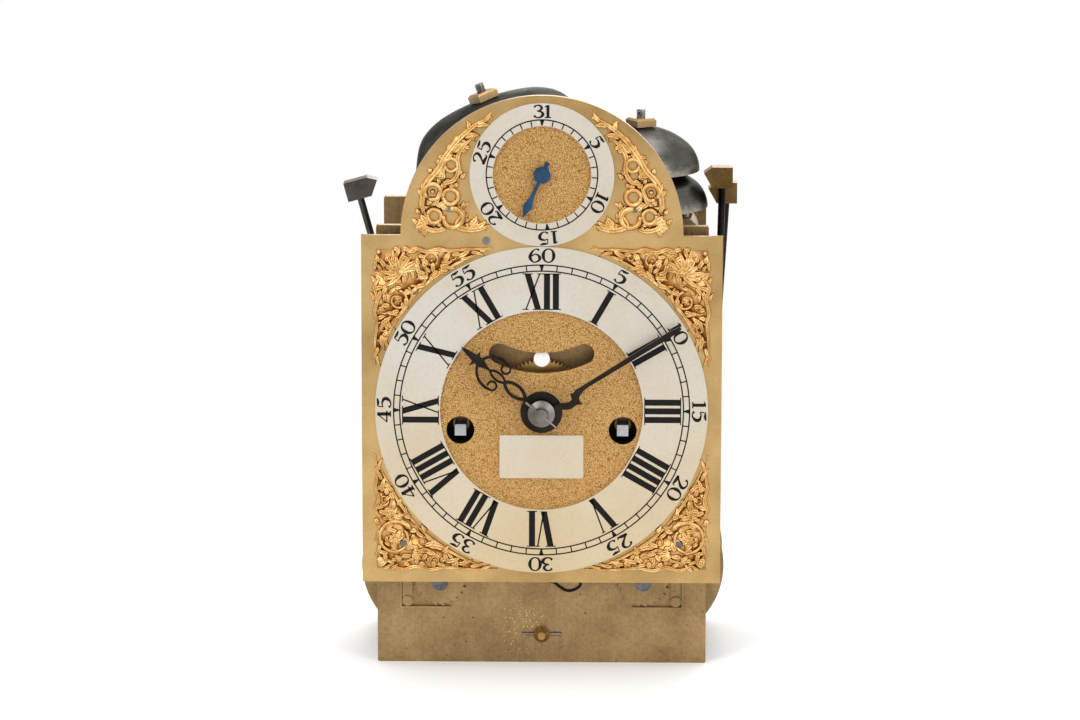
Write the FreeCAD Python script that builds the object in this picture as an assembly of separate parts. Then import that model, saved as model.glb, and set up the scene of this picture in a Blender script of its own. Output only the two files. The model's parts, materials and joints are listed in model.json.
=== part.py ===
import FreeCAD, Part
import math
import os

# An eight-day verge bracket clock out of its case: dial, movement and bells.
# Millimetres.  X is to the right of the dial, Y is to the back and Z is up.
# The origin is the middle of the front plate's bottom edge, at half its thickness.

# Clearances
run_gap = 0.05
fit_gap = 0.02
air_gap = 0.4
cut_over = 1.0

# Plates
plate_width = 141.0
plate_height = 190.5
plate_thick = 3.5
plate_gap = 70.0
plate_corner = 1.0

# Pillars, at places in the plates (x, z)
pillar_waist_r = 3.4
pillar_collar_r = 5.4
pillar_knop_r = 6.4
pillar_tenon_r = 3.3
pillar_tip = 4.6
side_pillar_x = 63.5
side_pillar_z = 75.0
top_pillar_x = 22.0
top_pillar_z = 181.5
foot_pillar_z = 12.6
pillar_length_shares = (0.0, 0.05, 0.1, 0.36, 0.42, 0.58, 0.64, 0.9, 0.95, 1.0)
pillar_pin_r = 0.75
pillar_pin_length = 17.0
pillar_pin_taper_share = 0.7
seat_bolt_r = 2.5
seat_bolt_depth = 7.0
seat_flat = 5.4

# Dial plate, whose edges follow the chapter ring
dial_side_margin = 5.7
dial_end_margin = 4.5
dial_arch_r = 59.6
dial_thick = 2.5
dial_gap = 10.75
dial_foot_r = 3.0
dial_foot_collar_r = 4.4
dial_foot_x = 61.5
dial_foot_low_z = 52.0
dial_foot_high_z = 162.0
dial_foot_tail = 3.6
dial_rivet_r = 1.7
dial_rivet_x = -23.4
dial_rivet_z = 186.3
dial_rivet_rise = 0.4

# Rings and name plate
hands_z = 113.5
ring_thick = 1.2
chapter_inner_r = 43.0
chapter_ring_width = 27.5
date_ring_width = 9.7
date_top_margin = 3.1
between_rings = 0.2
name_plate_width = 35.6
name_plate_height = 18.6
name_plate_thick = 0.7
name_plate_drop = 20.1
name_plate_corner = 1.0

# Trains: the arbors' places in the plates (x, z)
fusee_x = 34.4
fusee_z = 104.8
winding_hole_r = 5.85
winding_square = 4.8
barrel_x = 43.5
barrel_drop = 68.3
contrate_z = 144.1
verge_z = 186.5
crown_y = 36.0
pin_wheel_x = -40.0
pin_wheel_z = 138.3
pallet_wheel_x = -26.0
pallet_wheel_z = 156.0
warning_wheel_angle = 125.0
fly_angle = 162.0
wheel_thick = 2.2
wheel_rim_share = 0.14
wheel_arms = 4
wheel_arm_share = 0.15
wheel_hub_share = 0.2
pinion_leaf_length = 6.0

# Tooth forms, as shares of the module or of the tooth pitch
tooth_addendum_share = 0.95
tooth_root_share = 1.25
tooth_pitch_half_share = 0.2
tooth_tip_half_share = 0.06
leaf_addendum_share = 0.6
leaf_root_share = 1.2
leaf_pitch_half_share = 0.15
leaf_tip_half_share = 0.08

# Tooth counts
great_teeth = 72
train_leaves = 6
centre_teeth = 78
contrate_teeth = 68
crown_teeth = 31
cannon_teeth = 24
hour_teeth = 72
strike_great_teeth = 66
pin_wheel_teeth = 60
pallet_wheel_teeth = 54
warning_teeth = 48

# Going train along Y, measured from the inner face of the front plate
great_wheel_y = 6.3
going_fusee_length = 46.0
fusee_big_r = 26.0
fusee_small_r = 13.0
fusee_grooves = 8
fusee_groove_depth = 1.1
fusee_arbor_r = 3.5
fusee_back_pivot_r = 2.2
fusee_cap = 1.5
centre_wheel_y = 64.2
contrate_pitch_r = 17.0
contrate_rim = 1.5
contrate_web = 1.8
contrate_depth = 4.0
arbor_of_root_share = 0.92
pivot_of_arbor_share = 0.7
crown_outer_r = 13.0
crown_wall = 1.4
crown_web = 1.6
crown_height = 9.0
crown_tooth = 4.6
crown_tooth_gap_share = 0.25
crown_tip_z = 181.5
potence_width = 9.0
potence_arm = 3.0
potence_foot = 5.5
potence_low_z = 148.0
potence_reach = 3.6
potence_web_gap = 2.0

# Verge, pendulum and back cock
verge_r = 1.3
pallet_length = 4.2
pallet_width = 5.0
pallet_thick = 0.8
pallet_angle = 50.0
verge_hole_r = 3.0
cock_stand = 4.0
cock_thick = 2.4
cock_half_span = 15.0
cock_foot = 7.0
cock_height = 9.0
pendulum_gap = 2.0
pendulum_hub_r = 3.2
pendulum_hub_length = 4.0
pendulum_rod_r = 1.0
pendulum_length = 154.0
bob_r = 15.0
bob_thick = 9.0
bob_edge = 1.2
bob_mid_share = 0.6
bob_swell_share = 0.72
rating_nut_r = 3.6
rating_nut_length = 3.0
rating_thread = 5.0
mock_r = 3.4
mock_thick = 0.8
mock_arm_width = 1.6
mock_rise = 21.6
mock_hub_r = 2.8
slot_half_width = 4.4
slot_half_angle = 25.2
slot_arc_r = 42.0
slot_rise = 20.4

# Motion work and hands
motion_distance = 21.6
cannon_wheel_y = 1.6
motion_wheel_thick = 1.4
hour_wheel_gap = 0.8
cannon_r = 2.6
cannon_wall = 1.1
hour_pipe_r = 4.0
dial_centre_hole_r = 4.8
hand_thick = 1.2
hour_hand_front = 4.6
hands_between = 1.4
minute_hand_length = 69.4
minute_hand_angle = 57.7
minute_boss_r = 4.6
hour_hand_length = 44.0
hour_hand_angle = -50.5
hour_boss_r = 8.9
collet_r = 5.7
collet_height = 2.4
collet_flat_r = 3.4
hand_pin_r = 0.55
hand_pin_length = 17.0
hand_pin_angle = 40.0
cannon_nose = 2.2
date_hand_gap = 0.7
date_hand_angle = 204.0
date_hand_tail = 6.0
date_tail_width = 1.7
date_boss_r = 3.6
date_hand_front = 2.2
date_arbor_r = 1.3
date_washer_r = 3.6
date_washer_thick = 1.0
date_leaf_shares = ((0.1, 0), (0.16, 0.035), (0.55, 0.045), (0.72, 0.1), (0.84, 0.06), (1.0, 0))
collet_rim_share = 0.35
minute_curl_shares = ((0.05, 0.0), (0.13, 0.005), (0.155, 0.02), (0.185, 0.031), (0.205, 0.022),
                      (0.213, -0.01), (0.235, -0.004), (0.25, -0.014), (0.29, -0.012), (0.33, -0.012),
                      (0.33, 0.013), (0.29, 0.018), (0.255, 0.032), (0.24, 0.048), (0.24, 0.085),
                      (0.215, 0.068), (0.18, 0.072), (0.15, 0.066), (0.12, 0.045), (0.05, 0.03))
minute_blade_shares = ((0.32, 0.0), (0.32, 0.012), (0.92, 0.0175), (1.0, 0.009))
hour_loop_shares = ((0.2, 0.46, 0.055, 0.03), (0.45, 0.64, 0.035, 0.021))
hour_curl_shares = (0.53, 0.105, 0.043, 0.02)
hour_curl_turn = 290.0
hour_arm_shares = (0.77, 0.025, 0.055, 0.026)
hour_tip_shares = ((0.62, 0.0), (0.7, 0.02), (0.76, 0.05), (0.8, 0.04), (0.83, 0.09), (0.835, 0.036),
                   (0.87, 0.03), (0.92, 0.024), (1.0, 0.0))

# Barrels and set-up work
barrel_y = 24.3
barrel_length = 40.0
barrel_flange_r = 35.0
barrel_drum_r = 33.6
barrel_flange = 2.2
barrel_arbor_r = 4.6
barrel_pivot_r = 3.6
barrel_end = 6.2
ratchet_r = 11.5
ratchet_teeth = 22
ratchet_depth = 1.5
ratchet_thick = 2.0
click_length = 12.0
click_width = 4.2
click_screw_r = 2.2
click_screw_rise = 1.0
click_drop_share = 0.75
click_spring_thick = 0.9
click_spring_length = 22.0

# Striking train
strike_great_wheel_y = 11.8
strike_fusee_length = 42.0
pin_wheel_y = 59.3
pin_count = 8
pin_r = 0.8
pin_length = 4.0
pallet_wheel_y = 52.3
pallet_warning_module = 0.6
warning_wheel_y = 18.3
fly_module = 0.5
fly_vane_y = 25.0
fly_vane_length = 24.0
fly_vane_r = 11.0
fly_vane_thick = 0.7

# Bells and stands
bell_wall = 1.8
bell_shoulder_r_share = 0.8
bell_shoulder_depth_share = 0.4
hour_bell_r = 41.3
hour_bell_height = 32.0
hour_bell_tilt = 19.7
hour_bell_pole_x = -25.4
hour_bell_rise = 48.8
hour_bell_y = 32.0
quarter_bell_x = 41.7
quarter_bell_y = 46.0
upper_bell_r = 25.3
upper_bell_height = 19.0
upper_bell_pole_z = 226.2
lower_bell_r = 29.0
lower_bell_height = 18.2
lower_bell_pole_z = 209.7
bell_post_r = 3.0
bell_stud_r = 1.85
bell_stud_rise = 7.3
bell_seat_r = 5.0
bell_seat_height = 4.0
bell_nut_width = 9.6
bell_nut_height = 3.3
bell_nut_turn = 32.0
stand_thick = 3.0
stand_width = 10.0
hour_post_below = 12.0
hour_stand_foot_x = -36.0
hour_stand_foot_height = 24.0
quarter_stand_z = 185.0
quarter_stand_foot_height = 22.0

# Hammers
hour_head_length = 10.4
hour_head_height = 8.3
hour_head_nose = 4.1
quarter_head_length = 8.8
quarter_head_height = 9.0
quarter_head_nose = 3.6
hammer_head_depth = 8.0
hammer_nose_rise = 1.9
hammer_stem_r = 1.5
hammer_hub_r = 3.2
hammer_hub_length = 6.0
hammer_arbor_r = 1.6
hammer_tail_width = 2.4
hammer_tail_thick = 3.0
hour_hammer_x = -63.6
hour_hammer_z = 142.0
hour_head_x = -79.8
hour_head_z = 200.6
hour_tail_y = 54.8
hour_tail_reach = 3.2
upper_pivot_x = 65.0
upper_pivot_z = 152.0
lower_pivot_x = 58.0
lower_pivot_z = 134.0
upper_head_x = 76.9
upper_head_z = 204.8
upper_hammer_y = 42.0
lower_head_x = 79.0
lower_head_z = 196.6
lower_hammer_y = 51.5
quarter_stem_x = 75.9
quarter_finger_gap = 0.9
quarter_crank_rise = 10.0
spring_blade_thick = 0.7
spring_blade_width = 4.0
spring_blade_height = 16.0
spring_foot = 6.0
spring_tail_length = 12.0
spring_tail_gap = 2.4

# Quarter pin barrel
quarter_barrel_x = 59.5
quarter_barrel_z = 181.0
quarter_barrel_r = 7.4
quarter_barrel_y = 23.3
quarter_barrel_length = 36.0
quarter_flange_r = 8.2
quarter_flange = 1.6
quarter_pin_rise = 1.3
quarter_pin_r = 0.6
quarter_pins = 6

# Wire spring under the dial
wire_r = 0.65
wire_start_x = 2.0
wire_start_z = 35.5
wire_turn_x = 13.4
wire_turn_z = 33.9
wire_bend_r = 2.6
wire_stand = 1.6
wire_foot_r = 1.6
wire_bend_angle = 200.0

# Spandrels
spandrel_thick = 2.4
spandrel_web_thick = 1.2
spandrel_edge = 4.2
spandrel_ring_gap = 1.0
spandrel_leg = 50.0
spandrel_stroke = 2.6
spandrel_screw_r = 1.4
spandrel_screw_rise = 0.6
spandrel_outline_shares = ((0, 0), (0.2, 0.02), (0.42, 0), (0.7, 0.025), (1, 0.02), (1, 0.2), (0.75, 0.75),
                           (0.2, 1), (0.02, 1), (0.025, 0.7), (0, 0.42), (0.02, 0.2))
top_hole_shares = ((0.27, 0.12, 0.05), (0.12, 0.27, 0.05), (0.3, 0.29, 0.06), (0.53, 0.12, 0.04),
                   (0.12, 0.53, 0.04), (0.72, 0.07, 0.025), (0.07, 0.72, 0.025))
top_scroll_shares = ((0.27, 0.12, 0.09, 20, 300), (0.12, 0.27, 0.09, -30, 250), (0.3, 0.29, 0.1, 60, 330))
top_screw_shares = (0.2, 0.2)
bottom_hole_shares = ((0.16, 0.16, 0.055), (0.36, 0.14, 0.05), (0.14, 0.36, 0.05), (0.34, 0.3, 0.04),
                      (0.58, 0.11, 0.035), (0.11, 0.58, 0.035))
bottom_scroll_shares = ((0.16, 0.16, 0.1, 0, 300), (0.36, 0.14, 0.09, -60, 200), (0.14, 0.36, 0.09, 50, 310))
bottom_screw_shares = (0.27, 0.26)
arch_tip_share = 0.36
arch_hole_shares = ((0.74, 0.13, 0.065), (0.56, 0.11, 0.055), (0.77, 0.33, 0.06), (0.63, 0.3, 0.04),
                    (0.66, 0.52, 0.05), (0.56, 0.68, 0.03))
arch_screw_shares = (0.66, 0.2)

# Places worked out from the sizes above
chapter_outer_r = chapter_inner_r + chapter_ring_width
dial_width = 2 * (chapter_outer_r + dial_side_margin)
dial_bottom_z = hands_z - chapter_outer_r - dial_end_margin
dial_shoulder_z = hands_z + chapter_outer_r + dial_end_margin
date_low_z = hands_z + chapter_outer_r + between_rings
date_high_z = dial_shoulder_z + dial_arch_r - date_top_margin
date_outer_r = (date_high_z - date_low_z) / 2
date_inner_r = date_outer_r - date_ring_width
date_z = (date_high_z + date_low_z) / 2
date_hand_length = date_inner_r - date_hand_gap
name_plate_z = hands_z - name_plate_drop
slot_z = hands_z + slot_rise
mock_arc_r = verge_z - hands_z - mock_rise
barrel_z = fusee_z - barrel_drop
hour_bell_pole_z = plate_height + hour_bell_rise

# Faces along Y
front_face = -plate_thick / 2
front_inner = plate_thick / 2
back_inner = front_inner + plate_gap
back_face = back_inner + plate_thick
dial_back = front_face - dial_gap
dial_front = dial_back - dial_thick
ring_front = dial_front - ring_thick
Y_AXIS = FreeCAD.Vector(0, 1, 0)
Z_AXIS = FreeCAD.Vector(0, 0, 1)
wheel_form = (tooth_addendum_share, tooth_root_share, tooth_pitch_half_share, tooth_tip_half_share)
leaf_form = (leaf_addendum_share, leaf_root_share, leaf_pitch_half_share, leaf_tip_half_share)


def polar(x, z, r, angle):
    """Point at a radius and an angle in degrees from a centre."""
    turn = math.radians(angle)
    return (x + r * math.cos(turn), z + r * math.sin(turn))


def bearing(x0, z0, x1, z1):
    """Distance and angle in degrees from one centre to another."""
    return math.hypot(x1 - x0, z1 - z0), math.degrees(math.atan2(z1 - z0, x1 - x0))


def rod(x, z, y0, y1, r):
    """Round rod along Y."""
    return Part.makeCylinder(r, y1 - y0, FreeCAD.Vector(x, y0, z), Y_AXIS)


def tube(x, z, y0, y1, r, bore):
    """Round tube along Y."""
    return rod(x, z, y0, y1, r).cut(rod(x, z, y0 - cut_over, y1 + cut_over, bore))


def block(x0, x1, y0, y1, z0, z1):
    """Box between two corners."""
    return Part.makeBox(x1 - x0, y1 - y0, z1 - z0, FreeCAD.Vector(x0, y0, z0))


def flat(points, y0, y1):
    """Plate cut to an outline of (x, z) points."""
    corners = [FreeCAD.Vector(x, y0, z) for x, z in points]
    face = Part.Face(Part.makePolygon(corners + corners[:1]))
    return face.extrude(FreeCAD.Vector(0, y1 - y0, 0))


def arc(x, z, r, a0, a1, y):
    """Edge of a circle arc, by angles in degrees."""
    ends = [polar(x, z, r, a) for a in (a0, (a0 + a1) / 2, a1)]
    corners = [FreeCAD.Vector(px, y, pz) for px, pz in ends]
    return Part.Arc(*corners).toShape()


def line(start, end, y):
    """Straight edge between two (x, z) points."""
    return Part.makeLine(FreeCAD.Vector(start[0], y, start[1]), FreeCAD.Vector(end[0], y, end[1]))


def plate_of(edges, y0, y1):
    """Plate inside a closed run of edges drawn at y0."""
    face = Part.Face(Part.Wire(edges))
    return face.extrude(FreeCAD.Vector(0, y1 - y0, 0))


def fused(shapes):
    """One solid from shapes that touch or overlap."""
    return shapes[0].multiFuse(shapes[1:]).removeSplitter()


def group(shapes):
    """Separate solids kept in one node."""
    return Part.makeCompound(shapes)


def turned(x, z, profile):
    """Turned piece about a line along Y, from (radius, y) points."""
    corners = [FreeCAD.Vector(x + r, y, z) for r, y in profile]
    face = Part.Face(Part.makePolygon(corners + corners[:1]))
    return face.revolve(FreeCAD.Vector(x, 0, z), Y_AXIS, 360)


def bent_slot(x, z, r, half_width, a0, a1, y0, y1):
    """Curved bar with round ends, along an arc."""
    low = polar(x, z, r, a0)
    high = polar(x, z, r, a1)
    edges = [
        arc(x, z, r + half_width, a0, a1, y0),
        arc(high[0], high[1], half_width, a1, a1 + 180, y0),
        arc(x, z, r - half_width, a1, a0, y0),
        arc(low[0], low[1], half_width, a0 + 180, a0 + 360, y0),
    ]
    return plate_of(edges, y0, y1)


def tooth_points(teeth, module, phase, form):
    """Outline of a toothed wheel about zero, one tooth centred on the phase angle."""
    addendum, root, pitch_half, tip_half = form
    pitch_r = teeth * module / 2
    step = 360 / teeth
    root_half = pitch_half + (pitch_half - tip_half) * root / addendum
    points = []
    for n in range(teeth):
        middle = phase + n * step
        points.append(polar(0, 0, pitch_r - root * module, middle - root_half * step))
        points.append(polar(0, 0, pitch_r + addendum * module, middle - tip_half * step))
        points.append(polar(0, 0, pitch_r + addendum * module, middle + tip_half * step))
        points.append(polar(0, 0, pitch_r - root * module, middle + root_half * step))
    return points


def toothed(x, z, teeth, module, phase, form, y0, y1):
    """Solid toothed wheel or pinion along Y."""
    outline = tooth_points(teeth, module, phase, form)
    return flat([(x + px, z + pz) for px, pz in outline], y0, y1)


def arm_opening(x, z, hub_r, rim_r, half_arm, middle, y0, y1):
    """Opening between two parallel-sided arms of a wheel."""
    half_turn = 180 / wheel_arms
    out_edge = half_turn - math.degrees(math.asin(half_arm / rim_r))
    in_edge = half_turn - math.degrees(math.asin(half_arm / hub_r))
    corners = [polar(x, z, hub_r, middle - in_edge), polar(x, z, rim_r, middle - out_edge)]
    corners += [polar(x, z, rim_r, middle + out_edge), polar(x, z, hub_r, middle + in_edge)]
    edges = [
        line(corners[0], corners[1], y0),
        arc(x, z, rim_r, middle - out_edge, middle + out_edge, y0),
        line(corners[2], corners[3], y0),
        arc(x, z, hub_r, middle + in_edge, middle - in_edge, y0),
    ]
    return plate_of(edges, y0, y1)


def crossed_wheel(x, z, teeth, module, phase, bore, y0, y1):
    """Toothed wheel with arms and a bored hub."""
    pitch_r = teeth * module / 2
    hub_r = bore + wheel_hub_share * pitch_r
    rim_r = pitch_r * (1 - wheel_rim_share)
    half_arm = wheel_arm_share * rim_r / 2
    cuts = [rod(x, z, y0 - cut_over, y1 + cut_over, bore)]
    for n in range(wheel_arms):
        middle = (n + 0.5) * 360 / wheel_arms
        cuts.append(arm_opening(x, z, hub_r, rim_r, half_arm, middle, y0 - cut_over, y1 + cut_over))
    return toothed(x, z, teeth, module, phase, wheel_form, y0, y1).cut(Part.makeCompound(cuts))


def leaf_root(module):
    """Root radius of a train pinion."""
    return train_leaves * module / 2 - leaf_root_share * module


def slim(module):
    """Arbor and pivot radius that go with a train pinion."""
    r = leaf_root(module) * arbor_of_root_share
    return r, r * pivot_of_arbor_share


def arbor(x, z, module, phase, leaf_y):
    """Arbor between the plates with its pinion and two pivots."""
    r, pivot = slim(module)
    half = pinion_leaf_length / 2
    leaves = toothed(x, z, train_leaves, module, phase, leaf_form, leaf_y - half, leaf_y + half)
    pivots = rod(x, z, front_face, back_face, pivot)
    return fused([rod(x, z, front_inner + air_gap, back_inner - air_gap, r), pivots, leaves])


# Places and modules that several pieces share
great_d, great_a = bearing(fusee_x, fusee_z, 0, hands_z)
great_module = 2 * great_d / (great_teeth + train_leaves)
centre_module = 2 * (contrate_z - hands_z) / (centre_teeth + train_leaves)
contrate_module = 2 * contrate_pitch_r / contrate_teeth
crown_pinion_r = train_leaves * contrate_module / 2
strike_d, strike_a = bearing(-fusee_x, fusee_z, pin_wheel_x, pin_wheel_z)
strike_module = 2 * strike_d / (strike_great_teeth + train_leaves)
pin_d, pin_a = bearing(pin_wheel_x, pin_wheel_z, pallet_wheel_x, pallet_wheel_z)
pin_module = 2 * pin_d / (pin_wheel_teeth + train_leaves)
pallet_d = pallet_warning_module * (pallet_wheel_teeth + train_leaves) / 2
warning_x, warning_z = polar(pallet_wheel_x, pallet_wheel_z, pallet_d, warning_wheel_angle)
fly_d = fly_module * (warning_teeth + train_leaves) / 2
fly_x, fly_z = polar(warning_x, warning_z, fly_d, fly_angle)
minute_wheel_z = hands_z - motion_distance
cannon_module = motion_distance / cannon_teeth
hour_module = 2 * motion_distance / (hour_teeth + train_leaves)
half_leaf_step = 180 / train_leaves
cannon_front = front_face - cannon_wheel_y - motion_wheel_thick
hour_wheel_back = cannon_front - hour_wheel_gap
hour_wheel_front = hour_wheel_back - motion_wheel_thick
hour_hand_y = dial_front - hour_hand_front
minute_hand_back = hour_hand_y - hands_between
minute_hand_y = minute_hand_back - hand_thick
collet_front = minute_hand_y - collet_height
nose_y = collet_front - cannon_nose
pillar_places = [(0, foot_pillar_z), (-side_pillar_x, side_pillar_z), (side_pillar_x, side_pillar_z),
                 (-top_pillar_x, top_pillar_z), (top_pillar_x, top_pillar_z)]
dial_foot_places = [(side * dial_foot_x, z) for side in (-1, 1)
                    for z in (dial_foot_low_z, dial_foot_high_z)]
centre_r, centre_pivot_r = slim(great_module)
centre_front_r = cannon_r - cannon_wall - run_gap
hammer_places = [(hour_hammer_x, hour_hammer_z), (upper_pivot_x, upper_pivot_z),
                 (lower_pivot_x, lower_pivot_z)]
cock_front = back_face + cock_stand
cock_back = cock_front + cock_thick
pendulum_y = cock_back + pendulum_gap + pendulum_hub_length / 2
minute_arbor_r = leaf_root(hour_module) * arbor_of_root_share


def pivot_places():
    """Holes for the arbors that run in both plates: x, z and radius."""
    arbors = [(0, contrate_z, slim(centre_module)[1]), (pin_wheel_x, pin_wheel_z, slim(strike_module)[1]),
              (pallet_wheel_x, pallet_wheel_z, slim(pin_module)[1]),
              (warning_x, warning_z, slim(pallet_warning_module)[1]),
              (fly_x, fly_z, slim(fly_module)[1]), (quarter_barrel_x, quarter_barrel_z, hammer_arbor_r)]
    arbors += [(x, z, hammer_arbor_r) for x, z in hammer_places]
    return arbors


def plate_blank(y0, y1, holes):
    """Movement plate with softened corners and round holes."""
    half = plate_width / 2
    blank = block(-half, half, y0, y1, 0, plate_height)
    corners = [edge for edge in blank.Edges if abs(edge.tangentAt(edge.FirstParameter).y) > 0.5]
    blank = blank.makeFillet(plate_corner, corners)
    cuts = [rod(x, z, y0 - cut_over, y1 + cut_over, r) for x, z, r in holes]
    return blank.cut(Part.makeCompound(cuts))


def front_plate():
    """Front plate, pierced for every arbor, pillar and dial foot."""
    holes = [(x, z, r + run_gap) for x, z, r in pivot_places()]
    holes += [(x, z, pillar_tenon_r + fit_gap) for x, z in pillar_places]
    holes += [(x, z, dial_foot_r + fit_gap) for x, z in dial_foot_places]
    holes += [(side * fusee_x, fusee_z, fusee_arbor_r + run_gap) for side in (-1, 1)]
    holes += [(side * barrel_x, barrel_z, barrel_pivot_r + fit_gap) for side in (-1, 1)]
    holes += [(0, hands_z, centre_front_r + run_gap), (0, minute_wheel_z, minute_arbor_r + run_gap)]
    holes += [(0, verge_z, verge_r + run_gap)]
    return plate_blank(front_face, front_inner, holes)


def back_plate():
    """Back plate, with a wide hole for the verge."""
    holes = [(x, z, r + run_gap) for x, z, r in pivot_places()]
    holes += [(x, z, pillar_tenon_r + fit_gap) for x, z in pillar_places]
    holes += [(side * fusee_x, fusee_z, fusee_back_pivot_r + run_gap) for side in (-1, 1)]
    holes += [(side * barrel_x, barrel_z, barrel_pivot_r + fit_gap) for side in (-1, 1)]
    holes += [(0, hands_z, centre_pivot_r + run_gap)]
    holes += [(0, verge_z, verge_hole_r)]
    return plate_blank(back_inner, back_face, holes)


def pillar(x, z):
    """Turned pillar riveted in the back plate, its domed tip in front of the front plate."""
    radii = (pillar_collar_r, pillar_collar_r, pillar_waist_r, pillar_waist_r, pillar_knop_r)
    radii += tuple(reversed(radii))
    profile = [(0, back_face), (0, front_face - pillar_tip)]
    profile += [(pillar_tenon_r / 2, front_face - pillar_tip)]
    profile += [(pillar_tenon_r, front_face - pillar_tip / 2), (pillar_tenon_r, front_inner)]
    profile += [(r, front_inner + share * plate_gap) for r, share in zip(radii, pillar_length_shares)]
    profile += [(pillar_tenon_r, back_inner), (pillar_tenon_r, back_face)]
    return turned(x, z, profile)


def pillar_pin_hole(x, z):
    """Cross hole in a pillar tip, close in front of the plate."""
    half = pillar_pin_length / 2
    y = front_face - pillar_pin_r - fit_gap
    start = FreeCAD.Vector(x - half, y, z)
    return Part.makeCylinder(pillar_pin_r + fit_gap, pillar_pin_length, start, FreeCAD.Vector(1, 0, 0))


def pillars():
    """Five pillars; the foot pillar is tapped for the bolt through the seat board."""
    solids = []
    for x, z in pillar_places:
        solids.append(pillar(x, z).cut(pillar_pin_hole(x, z)))
    middle = (front_inner + back_inner) / 2
    half = plate_gap / 2
    flat_z = foot_pillar_z - seat_flat
    under = block(-half, half, middle - half, middle + half, flat_z - pillar_knop_r, flat_z)
    bolt = Part.makeCylinder(seat_bolt_r, seat_bolt_depth, FreeCAD.Vector(0, middle, flat_z), Z_AXIS)
    solids[0] = solids[0].cut(under).cut(bolt)
    return group(solids)


def pillar_pins():
    """Taper pins across the pillar tips."""
    pins = []
    y = front_face - pillar_pin_r - fit_gap
    for x, z in pillar_places:
        start = FreeCAD.Vector(x - pillar_pin_length / 2, y, z)
        small = pillar_pin_r * pillar_pin_taper_share
        pins.append(Part.makeCone(small, pillar_pin_r, pillar_pin_length, start, FreeCAD.Vector(1, 0, 0)))
    return group(pins)


def dial_plate():
    """Arched dial plate with its slot, winding holes and hand holes."""
    half = dial_width / 2
    y0, y1 = dial_front, dial_back
    edges = [
        line((-half, dial_bottom_z), (half, dial_bottom_z), y0),
        line((half, dial_bottom_z), (half, dial_shoulder_z), y0),
        line((half, dial_shoulder_z), (dial_arch_r, dial_shoulder_z), y0),
        arc(0, dial_shoulder_z, dial_arch_r, 0, 180, y0),
        line((-dial_arch_r, dial_shoulder_z), (-half, dial_shoulder_z), y0),
        line((-half, dial_shoulder_z), (-half, dial_bottom_z), y0),
    ]
    low, high = y0 - cut_over, y1 + cut_over
    cuts = [rod(side * fusee_x, fusee_z, low, high, winding_hole_r) for side in (-1, 1)]
    cuts.append(rod(0, hands_z, low, high, dial_centre_hole_r))
    cuts.append(rod(0, date_z, low, high, date_arbor_r + run_gap))
    cuts.append(bent_slot(0, slot_z + slot_arc_r, slot_arc_r, slot_half_width, 270 - slot_half_angle,
                          270 + slot_half_angle, low, high))
    plate = plate_of(edges, y0, y1).cut(Part.makeCompound(cuts))
    rivet = rod(dial_rivet_x, dial_rivet_z, dial_front - dial_rivet_rise, dial_front, dial_rivet_r)
    return fused([plate, rivet])


def dial_feet():
    """Four collared feet between the dial and the front plate."""
    feet = []
    for x, z in dial_foot_places:
        collar = rod(x, z, dial_back, front_face, dial_foot_collar_r)
        feet.append(fused([collar, rod(x, z, front_face, front_inner + dial_foot_tail, dial_foot_r)]))
    return group(feet)


def name_plate():
    """Bare plate on the matted dial centre."""
    half = name_plate_width / 2
    rise = name_plate_height / 2
    front = dial_front - name_plate_thick
    plate = block(-half, half, front, dial_front, name_plate_z - rise, name_plate_z + rise)
    corners = [edge for edge in plate.Edges if abs(edge.tangentAt(edge.FirstParameter).y) > 0.5]
    return plate.makeFillet(name_plate_corner, corners)


def fusee(x, wheel_y, length):
    """Grooved fusee cone with its arbor, winding square and back pivot."""
    big_y = front_inner + wheel_y + wheel_thick + air_gap
    small_y = big_y + length
    step = (length - 2 * fusee_cap) / fusee_grooves
    fall = (fusee_big_r - fusee_small_r) / length
    profile = [(0, front_face), (fusee_arbor_r, front_face), (fusee_arbor_r, big_y), (fusee_big_r, big_y)]
    for n in range(fusee_grooves):
        y = big_y + fusee_cap + n * step
        r = fusee_big_r - fall * (y - big_y)
        profile.append((r, y))
        profile.append((r - fall * step / 2 - fusee_groove_depth, y + step / 2))
    profile += [(fusee_small_r, small_y - fusee_cap), (fusee_small_r, small_y), (fusee_arbor_r, small_y)]
    profile += [(fusee_arbor_r, back_inner - air_gap), (fusee_back_pivot_r, back_inner - air_gap)]
    profile += [(fusee_back_pivot_r, back_face), (0, back_face)]
    half = winding_square / 2
    square = block(x - half, x + half, dial_front, front_face, fusee_z - half, fusee_z + half)
    return fused([turned(x, fusee_z, profile), square])


def great_wheel(x, teeth, module, phase, wheel_y):
    """Great wheel that runs on the fusee arbor."""
    y0 = front_inner + wheel_y
    return crossed_wheel(x, fusee_z, teeth, module, phase, fusee_arbor_r + run_gap, y0, y0 + wheel_thick)


def barrel(x):
    """Closed spring barrel with a flange at each end."""
    y0 = front_inner + barrel_y
    y1 = y0 + barrel_length
    bore = barrel_arbor_r + run_gap
    profile = [(bore, y0), (barrel_flange_r, y0), (barrel_flange_r, y0 + barrel_flange)]
    profile += [(barrel_drum_r, y0 + barrel_flange), (barrel_drum_r, y1 - barrel_flange)]
    profile += [(barrel_flange_r, y1 - barrel_flange), (barrel_flange_r, y1), (bore, y1)]
    return turned(x, barrel_z, profile)


def barrel_arbor(x):
    """Fixed arbor inside a barrel, its front end proud of the plate for the ratchet."""
    end = front_face - barrel_end
    profile = [(0, end), (barrel_pivot_r, end), (barrel_pivot_r, front_inner + air_gap)]
    profile += [(barrel_arbor_r, front_inner + air_gap), (barrel_arbor_r, back_inner - air_gap)]
    profile += [(barrel_pivot_r, back_inner - air_gap), (barrel_pivot_r, back_face), (0, back_face)]
    return turned(x, barrel_z, profile)


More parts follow.
